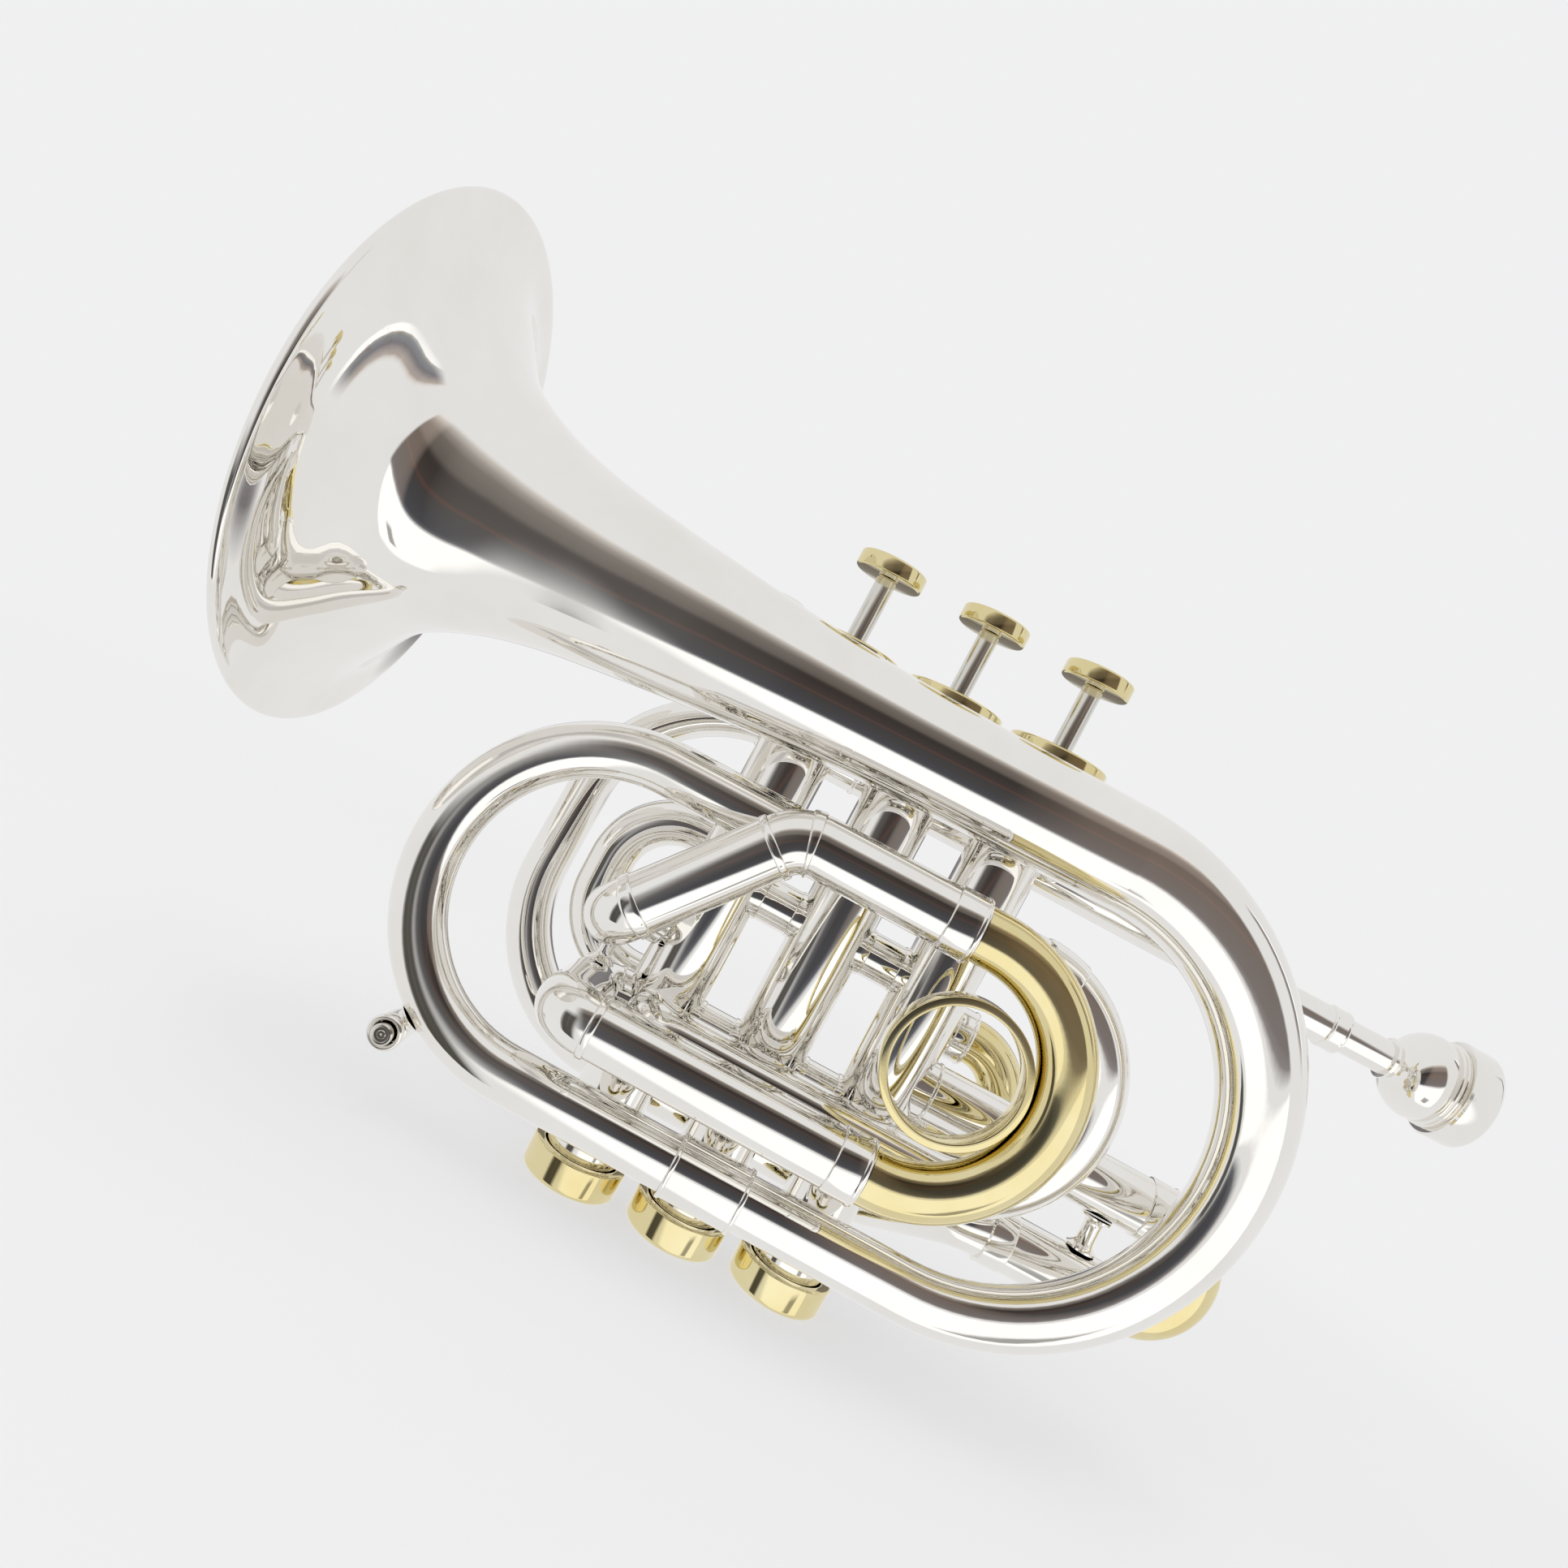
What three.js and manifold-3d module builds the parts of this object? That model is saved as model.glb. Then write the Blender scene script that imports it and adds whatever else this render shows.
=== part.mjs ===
// Pocket trumpet in B flat with three piston valves, drawn in millimetres.
// The middle valve's bottom cap stands on the origin and +Z runs up the valves.
// +X points to the mouthpiece, -X to the bell mouth and -Y to the player's left.
import * as THREE from 'three';
import { mergeVertices } from 'three/addons/utils/BufferGeometryUtils.js';
import Module from 'manifold-3d';

const wasm = await Module();
wasm.setup();

// Clearances and fineness
const SEAT_GAP = 0.3;
const SLIDE_GAP = 0.25;
const OVERRUN = 3;
const MERGE_DISTANCE = 1e-4;
const TUBE_SIDES = 12;
const FINE_SIDES = 16;
const PORT_SIDES = 8;
const BELL_SIDES = 28;
const BEND_STEP = Math.PI / 6;
const BEND_SAG = 0.7;

// Valves
const VALVE_SPACING = 28;
const CASING_RADIUS = 9.2;
const CASING_WALL = 0.9;
const BOTTOM_CAP_RADIUS = 12.1;
const BOTTOM_CAP_HEIGHT = 7.7;
const BOTTOM_CAP_FLOOR = 1.6;
const BOTTOM_CAP_ROUNDING = 1.4;
const TOP_CAP_RADIUS = 12.6;
const TOP_CAP_ROOF = 2.2;
const TOP_CAP_SKIRT = 6.2;
const TOP_CAP_ROUNDING = 0.8;
const TOP_CAP_RISE = 16.5;
const STEM_RADIUS = 2.55;
const STEM_HOLE_RADIUS = 3.3;
const BUTTON_RADIUS = 8.7;
const BUTTON_THICKNESS = 4.1;
const BUTTON_ROUNDING = 0.7;
const BUTTON_DISH = 0.7;
const BUTTON_LIFT = 17.6;
const PISTON_BOTTOM = 34;
const PISTON_TOP = 99;
const PISTON_WELL_DEPTH = 5;
const PISTON_WELL_RADIUS = 6.4;
const PORT_RADIUS = 5.2;
const SPRING_WIRE_RADIUS = 0.5;
const SPRING_RADIUS = 5.5;
const SPRING_TURNS = 7;
const SPRING_STEPS_PER_TURN = 7;
const SPRING_SIDES = 4;
const KNUCKLE_RADIUS = 5.6;

// Heights of the ports and legs above the bottom caps
const LOWER_KNUCKLE_HEIGHT = 47.5;
const UPPER_KNUCKLE_HEIGHT = 82;
const CROSSOVER_LOWER_HEIGHT = 47;
const CROSSOVER_UPPER_HEIGHT = 88;
const REAR_LEG_HEIGHT = 46;
const TOP_LEG_HEIGHT = 99.4;
const BOTTOM_LEG_HEIGHT = 23.4;
const FAR_LEG_HEIGHT = 24;
const TUNING_UPPER_HEIGHT = 59.9;
const TUNING_LOWER_HEIGHT = 36.9;
const THIRD_LEG_RISE = 0.9;
const THIRD_LOWER_HEIGHT = 44.4;
const FIRST_UPPER_HEIGHT = 72.6;
const FIRST_LOWER_HEIGHT = 44.8;
const SECOND_UPPER_HEIGHT = 72;
const SECOND_LOWER_HEIGHT = 48;

// Tubing
const LEG_RADIUS = 6.5;
const TUBE_WALL = 0.6;
const SLIDE_WALL = 0.5;
const FERRULE_WALL = 0.5;
const FERRULE_LENGTH = 7.5;

// Bell, its tail and the bows on the player's left
const BELL_REACH = 133.9;
const BELL_TAIL_START = 48;
const BELL_RIM_RADIUS = 61.5;
const BELL_STEM_RADIUS = 11.9;
const BELL_WALL = 0.8;
const BELL_BEAD_RADIUS = 1.2;
const BELL_BEAD_STEPS = 5;
const BELL_GAP = 3.9;
const BELL_LEG_GAP = 11.8;
const BELL_FERRULE_LENGTH = 17.7;
const BELL_LENGTH_SHARES = [0.02, 0.052, 0.098, 0.164, 0.242, 0.347, 0.419, 0.504, 0.684, 1];
const BELL_FLARE_SHARES = [0.8, 0.6, 0.395, 0.266, 0.185, 0.129, 0.099, 0.066, 0.018, 0];
const BELL_TAIL_LENGTH_SHARES = [0, 0.39, 0.776, 1];
const BELL_TAIL_TAPER_SHARES = [1, 0.385, 0.04, 0];
const LEG_GAP = 1.3;
const FRONT_BOW_START = 50;
const REAR_BOW_START = 43;
const REAR_LEG_BEND = 8;

// Third valve slide, nearest the player's left hand
const THIRD_GAP = 4.6;
const THIRD_OUTER_RADIUS = 6.9;
const THIRD_ELBOW_X = -45;
const THIRD_ELBOW_BEND = 7.2;
const THIRD_KNEE_BEND = 9.5;
const THIRD_SLANT_RUN = 27.5;
const THIRD_UPPER_END = 24.6;
const THIRD_LOWER_END = 27.3;
const THIRD_BOW_START = 29;
const THIRD_UPPER_INSET = 33;
const THIRD_LOWER_INSET = 36;
const RING_LEG_GAP = 4.85;
const RING_WALL = 2;
const RING_WIDTH = 7;
const POST_RADIUS = 3;
const THIRD_POST_LENGTH = 7.7;

// Crossover bow at the front of the third valve
const CROSSOVER_RADIUS = 5.9;
const CROSSOVER_REACH = 29;
const CROSSOVER_BEND = 17;
const CROSSOVER_ELBOW_BEND = 7;
const CROSSOVER_OFFSET = 17;

// Main tuning slide behind the first valve
const TUNING_OUTER_RADIUS = 7;
const TUNING_END = 103;
const TUNING_LOWER_START = 66;
const TUNING_UPPER_INSET = 45;
const TUNING_LOWER_INSET = 36;
const TUNING_BRACE_X = 88;
const BRACE_RADIUS = 2.2;
const BRACE_FLANGE_RADIUS = 3.8;
const BRACE_FLANGE_THICKNESS = 1.2;

// Leadpipe and the far side
const LEADPIPE_OFFSET = 31;
const LEADPIPE_DROP = 9.8;
const LEADPIPE_RADIUS = 5;
const LEADPIPE_START = 100;
const LEADPIPE_BOW_START = -34.5;
const LEADPIPE_BOW_BEND = 38;
const FAR_LEG_OFFSET = 19;
const FAR_LEG_JOIN = -30;
const FAR_LEG_RISE_START = 40;
const FAR_LEG_RISE_END = 60;
const FAR_LEG_BEND = 12;
const RECEIVER_RADIUS = 5.5;
const RECEIVER_RING_RADIUS = 6;
const RECEIVER_RING_LENGTH = 5;
const RECEIVER_END = 133.5;
const MOUTHPIECE_END = 172.3;
const MOUTHPIECE_RADIUS = 13.5;
const MOUTHPIECE_BAND_LENGTH = 9.3;
const MOUTHPIECE_BEAD_LENGTH = 2.2;
const MOUTHPIECE_CUP_LENGTH = 14;
const MOUTHPIECE_NECK_RADIUS = 5.2;
const MOUTHPIECE_SHANK_RADIUS = 4.7;
const MOUTHPIECE_TIP_RADIUS = 4.3;
const MOUTHPIECE_INSET = 25;
const MOUTHPIECE_CUP_RADIUS = 8.2;
const MOUTHPIECE_CUP_DEPTH = 12;
const MOUTHPIECE_THROAT_RADIUS = 1.85;
const MOUTHPIECE_BACKBORE_RADIUS = 3.6;
const MOUTHPIECE_RIM_ROUNDING = 1.6;

// First and second valve slides
const FIRST_OFFSET = 22;
const FIRST_ELBOW_BEND = 7.2;
const FIRST_END = 46;
const FIRST_INSET = 9.5;
const SECOND_END = 23;
const SECOND_INSET = 12.5;
const SMALL_OUTER_RADIUS = 6.7;
const BOW_STRAIGHT = 1;

// Water key, little finger hook and bell braces
const KEY_BARREL_RADIUS = 4.1;
const KEY_BARREL_LENGTH = 10;
const KEY_PLUNGER_RADIUS = 2.45;
const KEY_PLUNGER_LENGTH = 8.4;
const KEY_STAND_OUT = 1.6;
const KEY_STAND_OFF = 0.5;
const KEY_SADDLE_RADIUS = 2.6;
const KEY_DROP_SHARE = 0.84;
const HOOK_RADIUS = 1.7;
const HOOK_X = -40;
const HOOK_HEIGHT = 27;
const HOOK_REACH = 20;
const HOOK_BEND = 9;
const HOOK_TIP_DROP = 13;
const FRONT_BRACE_X = -47;
const REAR_BRACE_X = 45;
const BRACE_RISE = 2.2;

// Colours and finishes
const SILVER_PLATE = { color: 0xeeeeec, roughness: 0.08, metalness: 1 };
const LACQUERED_BRASS = { color: 0xe2c25e, roughness: 0.12, metalness: 1 };
const NICKEL_SILVER = { color: 0xd5d3cc, roughness: 0.18, metalness: 1 };
const SPRING_STEEL = { color: 0xa9aaac, roughness: 0.35, metalness: 1 };

// Sizes worked out from the ones above
const BELL_HEIGHT = TOP_LEG_HEIGHT + LEG_RADIUS + BELL_LEG_GAP + BELL_STEM_RADIUS;
const LEADPIPE_HEIGHT = BELL_HEIGHT - LEADPIPE_DROP;
const BRACE_HEIGHT = LEADPIPE_HEIGHT + BRACE_RISE;
const VALVE_HEIGHT = BELL_HEIGHT + TOP_CAP_RISE;
const THIRD_UPPER_HEIGHT = TOP_LEG_HEIGHT + THIRD_LEG_RISE;
const THIRD_PORT_HEIGHT = THIRD_LOWER_HEIGHT + 2 * (THIRD_OUTER_RADIUS + SEAT_GAP) + THIRD_POST_LENGTH;
const CASING_BORE = CASING_RADIUS - CASING_WALL;
const CASING_BOTTOM = BOTTOM_CAP_FLOOR + SEAT_GAP;
const CASING_TOP = VALVE_HEIGHT - TOP_CAP_ROOF - SEAT_GAP;
const BUTTON_BOTTOM = VALVE_HEIGHT + BUTTON_LIFT;
const NEAR_LAYER = -(CASING_RADIUS + LEG_GAP + LEG_RADIUS);
const BELL_LAYER = -(CASING_RADIUS + BELL_GAP + BELL_STEM_RADIUS);
const THIRD_LAYER = NEAR_LAYER - LEG_RADIUS - THIRD_GAP - THIRD_OUTER_RADIUS;
const THIRD_INNER_RADIUS = THIRD_OUTER_RADIUS - SLIDE_WALL - SLIDE_GAP;
const RING_RADIUS = (THIRD_UPPER_HEIGHT - THIRD_LOWER_HEIGHT) / 2 - THIRD_OUTER_RADIUS - RING_LEG_GAP;
const TUNING_INNER_RADIUS = TUNING_OUTER_RADIUS - SLIDE_WALL - SLIDE_GAP;
const SMALL_INNER_RADIUS = SMALL_OUTER_RADIUS - SLIDE_WALL - SLIDE_GAP;
const THIRD_VALVE_X = -VALVE_SPACING;
const FIRST_VALVE_X = VALVE_SPACING;

// A point in the trumpet's frame
function at(x, y, z) {
  return new THREE.Vector3(x, y, z);
}

// Value at a share of the way, read off a list of shares
function along(share, places, values) {
  const next = Math.max(1, places.findIndex((place) => place >= share));
  const part = (share - places[next - 1]) / (places[next] - places[next - 1]);
  return THREE.MathUtils.lerp(values[next - 1], values[next], part);
}

// Faces turned outwards, told from the sign of the enclosed volume
function outward(geometry) {
  const place = geometry.attributes.position;
  const index = geometry.index.array;
  const [a, b, c] = [at(0, 0, 0), at(0, 0, 0), at(0, 0, 0)];
  let volume = 0;
  for (let i = 0; i < index.length; i += 3) {
    a.fromBufferAttribute(place, index[i]);
    b.fromBufferAttribute(place, index[i + 1]);
    c.fromBufferAttribute(place, index[i + 2]);
    volume += a.dot(b.cross(c));
  }
  if (volume < 0) {
    for (let i = 0; i < index.length; i += 3) {
      [index[i], index[i + 1]] = [index[i + 1], index[i]];
    }
  }
  geometry.computeVertexNormals();
  return geometry;
}

// A closed shape with shared vertices and no collapsed triangles
function closed(geometry) {
  const bare = geometry.clone();
  bare.deleteAttribute('normal');
  bare.deleteAttribute('uv');
  const merged = mergeVertices(bare, MERGE_DISTANCE);
  const kept = [];
  const index = merged.index.array;
  for (let i = 0; i < index.length; i += 3) {
    const [a, b, c] = [index[i], index[i + 1], index[i + 2]];
    if (a !== b && b !== c && c !== a) kept.push(a, b, c);
  }
  merged.setIndex(kept);
  return outward(merged);
}

// Shape to boolean solid and back
function solid(geometry) {
  const shape = closed(geometry);
  const vertProperties = Float32Array.from(shape.attributes.position.array);
  const triVerts = Uint32Array.from(shape.index.array);
  return new wasm.Manifold(new wasm.Mesh({ numProp: 3, vertProperties, triVerts }));
}

function shape(body) {
  const mesh = body.getMesh();
  const geometry = new THREE.BufferGeometry();
  geometry.setAttribute('position', new THREE.BufferAttribute(Float32Array.from(mesh.vertProperties), 3));
  geometry.setIndex(Array.from(mesh.triVerts));
  geometry.computeVertexNormals();
  return geometry;
}

function cut(geometry, ...tools) {
  return shape(tools.reduce((body, tool) => body.subtract(solid(tool)), solid(geometry)));
}

function join(geometry, ...others) {
  return shape(others.reduce((body, other) => body.add(solid(other)), solid(geometry)));
}

// Stations along a broken line whose corners are rounded, with the share of the way at each
function route(corners, bends) {
  const stations = [];
  let length = 0;
  const add = (place, heading) => {
    const last = stations[stations.length - 1];
    const step = last ? place.distanceTo(last.place) : 0;
    if (last && step < MERGE_DISTANCE) return;
    length += step;
    stations.push({ place, heading, length });
  };
  for (let i = 0; i < corners.length; i += 1) {
    const before = i > 0 ? corners[i].clone().sub(corners[i - 1]).normalize() : null;
    const after = i < corners.length - 1 ? corners[i + 1].clone().sub(corners[i]).normalize() : null;
    if (!before || !after) {
      add(corners[i].clone(), before ?? after);
      continue;
    }
    const angle = before.angleTo(after);
    const bend = bends[i - 1];
    const axis = before.clone().cross(after).normalize();
    const inward = axis.clone().cross(before);
    const start = corners[i].clone().addScaledVector(before, -bend * Math.tan(angle / 2));
    const centre = start.clone().addScaledVector(inward, bend);
    const step = Math.min(BEND_STEP, 2 * Math.acos(1 - BEND_SAG / bend));
    const steps = Math.max(1, Math.ceil(angle / step));
    for (let k = 0; k <= steps; k += 1) {
      const turn = (angle * k) / steps;
      const place = start.clone().sub(centre).applyAxisAngle(axis, turn).add(centre);
      add(place, before.clone().applyAxisAngle(axis, turn));
    }
  }
  stations.forEach((station) => { station.share = station.length / length; });
  return stations;
}

// Tube or rod swept through stations, with its radius and bore read at each share of the way
function sweep(stations, radiusAt, boreAt = null, sides = TUBE_SIDES) {
  const walls = boreAt ? [radiusAt, boreAt] : [radiusAt];
  const positions = [];
  const index = [];
  const first = stations[0].heading;
  const upright = Math.abs(first.z) < Math.SQRT1_2 ? at(0, 0, 1) : at(1, 0, 0);
  const side = upright.addScaledVector(first, -upright.dot(first)).normalize();
  stations.forEach((station, k) => {
    if (k > 0) {
      const turn = new THREE.Quaternion().setFromUnitVectors(stations[k - 1].heading, station.heading);
      side.applyQuaternion(turn);
    }
    const across = station.heading.clone().cross(side);
    for (const wall of walls) {
      for (let i = 0; i < sides; i += 1) {
        const angle = (2 * Math.PI * i) / sides;
        const point = station.place.clone();
        point.addScaledVector(side, wall(station.share) * Math.cos(angle));
        point.addScaledVector(across, wall(station.share) * Math.sin(angle));
        positions.push(point.x, point.y, point.z);
      }
    }
  });
  const vertex = (k, wall, i) => (k * walls.length + wall) * sides + (i % sides);
  const quad = (a, b, c, d) => index.push(a, b, c, a, c, d);
  const last = stations.length - 1;
  for (let i = 0; i < sides; i += 1) {
    for (let k = 0; k < last; k += 1) {
      quad(vertex(k, 0, i), vertex(k, 0, i + 1), vertex(k + 1, 0, i + 1), vertex(k + 1, 0, i));
      if (boreAt) quad(vertex(k, 1, i), vertex(k + 1, 1, i), vertex(k + 1, 1, i + 1), vertex(k, 1, i + 1));
    }
    if (boreAt) {
      quad(vertex(0, 0, i), vertex(0, 1, i), vertex(0, 1, i + 1), vertex(0, 0, i + 1));
      quad(vertex(last, 0, i), vertex(last, 0, i + 1), vertex(last, 1, i + 1), vertex(last, 1, i));
    } else if (i > 0 && i < sides - 1) {
      index.push(vertex(0, 0, 0), vertex(0, 0, i + 1), vertex(0, 0, i));
      index.push(vertex(last, 0, 0), vertex(last, 0, i), vertex(last, 0, i + 1));
    }
  }
  const geometry = new THREE.BufferGeometry();
  geometry.setAttribute('position', new THREE.Float32BufferAttribute(positions, 3));
  geometry.setIndex(index);
  return outward(geometry);
}

// Tube of one radius and wall through rounded corners
function pipe(corners, bends, radius, wall) {
  return sweep(route(corners, bends), () => radius, () => radius - wall);
}

// Tube whose first stretch is a thicker end ferrule
function ferruledPipe(corners, bends, radius, wall) {
  const stations = route(corners, bends);
  const heading = stations[0].heading;
  const length = stations[stations.length - 1].length;
  const step = SEAT_GAP;
  for (const reach of [FERRULE_LENGTH + step, FERRULE_LENGTH]) {
    const place = corners[0].clone().addScaledVector(heading, reach);
    stations.splice(1, 0, { place, heading, share: reach / length });
  }
  const ringEnd = (FERRULE_LENGTH + step / 2) / length;
  const radiusAt = (share) => (share < ringEnd ? radius + FERRULE_WALL : radius);
  return sweep(stations, radiusAt, () => radius - wall);
}

// Turned piece about the Z axis from [radius, height] points, closed on itself or on the axis
function turned(points, sides = FINE_SIDES) {
  const profile = points.map(([radius, height]) => new THREE.Vector2(radius, height));
  return closed(new THREE.LatheGeometry(profile, sides).rotateX(Math.PI / 2));
}

// Round bar between two points, used as a piece and as a cutting tool
function bar(from, to, radius, sides = TUBE_SIDES) {
  return sweep(route([from, to], []), () => radius, null, sides);
}

// Tool that trims a tube to the saddle where it meets a casing
function casingTool(x) {
  const top = at(x, 0, CASING_TOP + OVERRUN);
  return bar(at(x, 0, CASING_BOTTOM - OVERRUN), top, CASING_RADIUS + SEAT_GAP, FINE_SIDES);
}

// Tool that opens a port through one wall of a casing
function portTool(x, towards, height) {
  const start = at(x, 0, height).addScaledVector(towards, CASING_BORE / 2);
  const end = at(x, 0, height).addScaledVector(towards, CASING_RADIUS + OVERRUN);
  return bar(start, end, PORT_RADIUS, PORT_SIDES);
}

// Rod with a flange at each end, as braces are soldered on
function brace(from, to) {
  const length = from.distanceTo(to);
  const geometry = turned([
    [0, 0],
    [BRACE_FLANGE_RADIUS, 0],
    [BRACE_RADIUS, BRACE_FLANGE_THICKNESS],
    [BRACE_RADIUS, length - BRACE_FLANGE_THICKNESS],
    [BRACE_FLANGE_RADIUS, length],
    [0, length],
  ], TUBE_SIDES);
  const turn = new THREE.Quaternion().setFromUnitVectors(at(0, 0, 1), to.clone().sub(from).normalize());
  return geometry.applyQuaternion(turn).translate(from.x, from.y, from.z);
}

const trumpet = new THREE.Group();
const finishes = new Map();

// Adds a named piece in its finish
function piece(name, geometry, finish, parent = trumpet) {
  if (!finishes.has(finish)) finishes.set(finish, new THREE.MeshStandardMaterial(finish));
  const mesh = new THREE.Mesh(geometry, finishes.get(finish));
  mesh.name = name;
  parent.add(mesh);
  return mesh;
}

const LEFT = at(0, -1, 0);
const RIGHT = at(0, 1, 0);
const FORWARD = at(-1, 0, 0);
const REARWARD = at(1, 0, 0);

// Ports of each casing, by direction and height
const PORTS = {
  1: [
    [FORWARD, LOWER_KNUCKLE_HEIGHT], [FORWARD, UPPER_KNUCKLE_HEIGHT], [REARWARD, TUNING_UPPER_HEIGHT],
    [RIGHT, FIRST_UPPER_HEIGHT], [RIGHT, FIRST_LOWER_HEIGHT],
  ],
  2: [
    [FORWARD, LOWER_KNUCKLE_HEIGHT], [FORWARD, UPPER_KNUCKLE_HEIGHT],
    [REARWARD, LOWER_KNUCKLE_HEIGHT], [REARWARD, UPPER_KNUCKLE_HEIGHT],
    [RIGHT, SECOND_UPPER_HEIGHT], [RIGHT, SECOND_LOWER_HEIGHT],
  ],
  3: [
    [REARWARD, LOWER_KNUCKLE_HEIGHT], [REARWARD, UPPER_KNUCKLE_HEIGHT],
    [FORWARD, THIRD_PORT_HEIGHT], [FORWARD, THIRD_LOWER_HEIGHT], [LEFT, REAR_LEG_HEIGHT],
    [RIGHT, CROSSOVER_UPPER_HEIGHT], [RIGHT, CROSSOVER_LOWER_HEIGHT],
  ],
};

function valveCasing(number) {
  const wall = [
    [CASING_RADIUS, CASING_BOTTOM],
    [CASING_RADIUS, CASING_TOP],
    [CASING_BORE, CASING_TOP],
    [CASING_BORE, CASING_BOTTOM],
    [CASING_RADIUS, CASING_BOTTOM],
  ];
  return cut(turned(wall), ...PORTS[number].map(([towards, height]) => portTool(0, towards, height)));
}

function bottomCap() {
  const bore = CASING_RADIUS + SEAT_GAP;
  return turned([
    [0, 0],
    [BOTTOM_CAP_RADIUS - BOTTOM_CAP_ROUNDING, 0],
    [BOTTOM_CAP_RADIUS, BOTTOM_CAP_ROUNDING],
    [BOTTOM_CAP_RADIUS, BOTTOM_CAP_HEIGHT],
    [bore, BOTTOM_CAP_HEIGHT],
    [bore, BOTTOM_CAP_FLOOR],
    [0, BOTTOM_CAP_FLOOR],
  ]);
}

function topCap() {
  const bore = CASING_RADIUS + SEAT_GAP;
  const skirt = VALVE_HEIGHT - TOP_CAP_ROOF - TOP_CAP_SKIRT;
  return turned([
    [STEM_HOLE_RADIUS, VALVE_HEIGHT],
    [TOP_CAP_RADIUS - TOP_CAP_ROUNDING, VALVE_HEIGHT],
    [TOP_CAP_RADIUS, VALVE_HEIGHT - TOP_CAP_ROUNDING],
    [TOP_CAP_RADIUS, skirt],
    [bore, skirt],
    [bore, VALVE_HEIGHT - TOP_CAP_ROOF],
    [STEM_HOLE_RADIUS, VALVE_HEIGHT - TOP_CAP_ROOF],
    [STEM_HOLE_RADIUS, VALVE_HEIGHT],
  ]);
}

// Piston with its spring well and one cross passage at each port level
function piston() {
  const radius = CASING_BORE - SLIDE_GAP;
  const body = turned([
    [0, PISTON_BOTTOM + PISTON_WELL_DEPTH],
    [PISTON_WELL_RADIUS, PISTON_BOTTOM + PISTON_WELL_DEPTH],
    [PISTON_WELL_RADIUS, PISTON_BOTTOM],
    [radius, PISTON_BOTTOM],
    [radius, PISTON_TOP],
    [0, PISTON_TOP],
  ]);
  const levels = [
    [LOWER_KNUCKLE_HEIGHT, REARWARD],
    [THIRD_PORT_HEIGHT, RIGHT],
    [UPPER_KNUCKLE_HEIGHT, REARWARD],
  ];
  const passages = levels.map(([height, way]) => bar(
    at(0, 0, height).addScaledVector(way, -CASING_RADIUS),
    at(0, 0, height).addScaledVector(way, CASING_RADIUS),
    PORT_RADIUS,
    PORT_SIDES,
  ));
  return cut(body, ...passages);
}

function valveStem() {
  return turned([
    [0, PISTON_TOP + SEAT_GAP],
    [STEM_RADIUS, PISTON_TOP + SEAT_GAP],
    [STEM_RADIUS, BUTTON_BOTTOM - SEAT_GAP],
    [0, BUTTON_BOTTOM - SEAT_GAP],
  ], TUBE_SIDES);
}

function fingerButton() {
  const top = BUTTON_BOTTOM + BUTTON_THICKNESS;
  return turned([
    [0, BUTTON_BOTTOM],
    [BUTTON_RADIUS - BUTTON_ROUNDING, BUTTON_BOTTOM],
    [BUTTON_RADIUS, BUTTON_BOTTOM + BUTTON_ROUNDING],
    [BUTTON_RADIUS, top - BUTTON_ROUNDING],
    [BUTTON_RADIUS - BUTTON_ROUNDING, top],
    [0, top - BUTTON_DISH],
  ]);
}

// Return spring as a round wire wound from the cap's floor to the piston's well
function valveSpring() {
  const bottom = CASING_BOTTOM + SPRING_WIRE_RADIUS;
  const top = PISTON_BOTTOM + PISTON_WELL_DEPTH - SEAT_GAP - SPRING_WIRE_RADIUS;
  const count = SPRING_TURNS * SPRING_STEPS_PER_TURN;
  const place = (k) => {
    const angle = (2 * Math.PI * k) / SPRING_STEPS_PER_TURN;
    const height = THREE.MathUtils.lerp(bottom, top, k / count);
    return at(SPRING_RADIUS * Math.cos(angle), SPRING_RADIUS * Math.sin(angle), height);
  };
  const stations = [];
  for (let k = 0; k <= count; k += 1) {
    const heading = place(k + 1).sub(place(k - 1)).normalize();
    stations.push({ place: place(k), heading, share: k / count });
  }
  return sweep(stations, () => SPRING_WIRE_RADIUS, null, SPRING_SIDES);
}

function addValves() {
  for (const number of [1, 2, 3]) {
    const valve = new THREE.Group();
    valve.position.x = (2 - number) * VALVE_SPACING;
    trumpet.add(valve);
    piece(`valve_casing_${number}`, valveCasing(number), SILVER_PLATE, valve);
    piece(`bottom_cap_${number}`, bottomCap(), LACQUERED_BRASS, valve);
    piece(`top_cap_${number}`, topCap(), LACQUERED_BRASS, valve);
    piece(`piston_${number}`, piston(), NICKEL_SILVER, valve);
    piece(`valve_stem_${number}`, valveStem(), NICKEL_SILVER, valve);
    piece(`finger_button_${number}`, fingerButton(), LACQUERED_BRASS, valve);
    piece(`valve_spring_${number}`, valveSpring(), SPRING_STEEL, valve);
  }
}

// Short tubes that carry the air from casing to casing
function addKnuckles() {
  for (const [front, rear] of [[3, 2], [2, 1]]) {
    const frontX = (2 - front) * VALVE_SPACING;
    const rearX = (2 - rear) * VALVE_SPACING;
    for (const [level, height] of [['lower', LOWER_KNUCKLE_HEIGHT], ['upper', UPPER_KNUCKLE_HEIGHT]]) {
      const tube = pipe([at(frontX, 0, height), at(rearX, 0, height)], [], KNUCKLE_RADIUS, TUBE_WALL);
      const trimmed = cut(tube, casingTool(frontX), casingTool(rearX));
      piece(`knuckle_${level}_${front}_${rear}`, trimmed, SILVER_PLATE);
    }
  }
}

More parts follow.
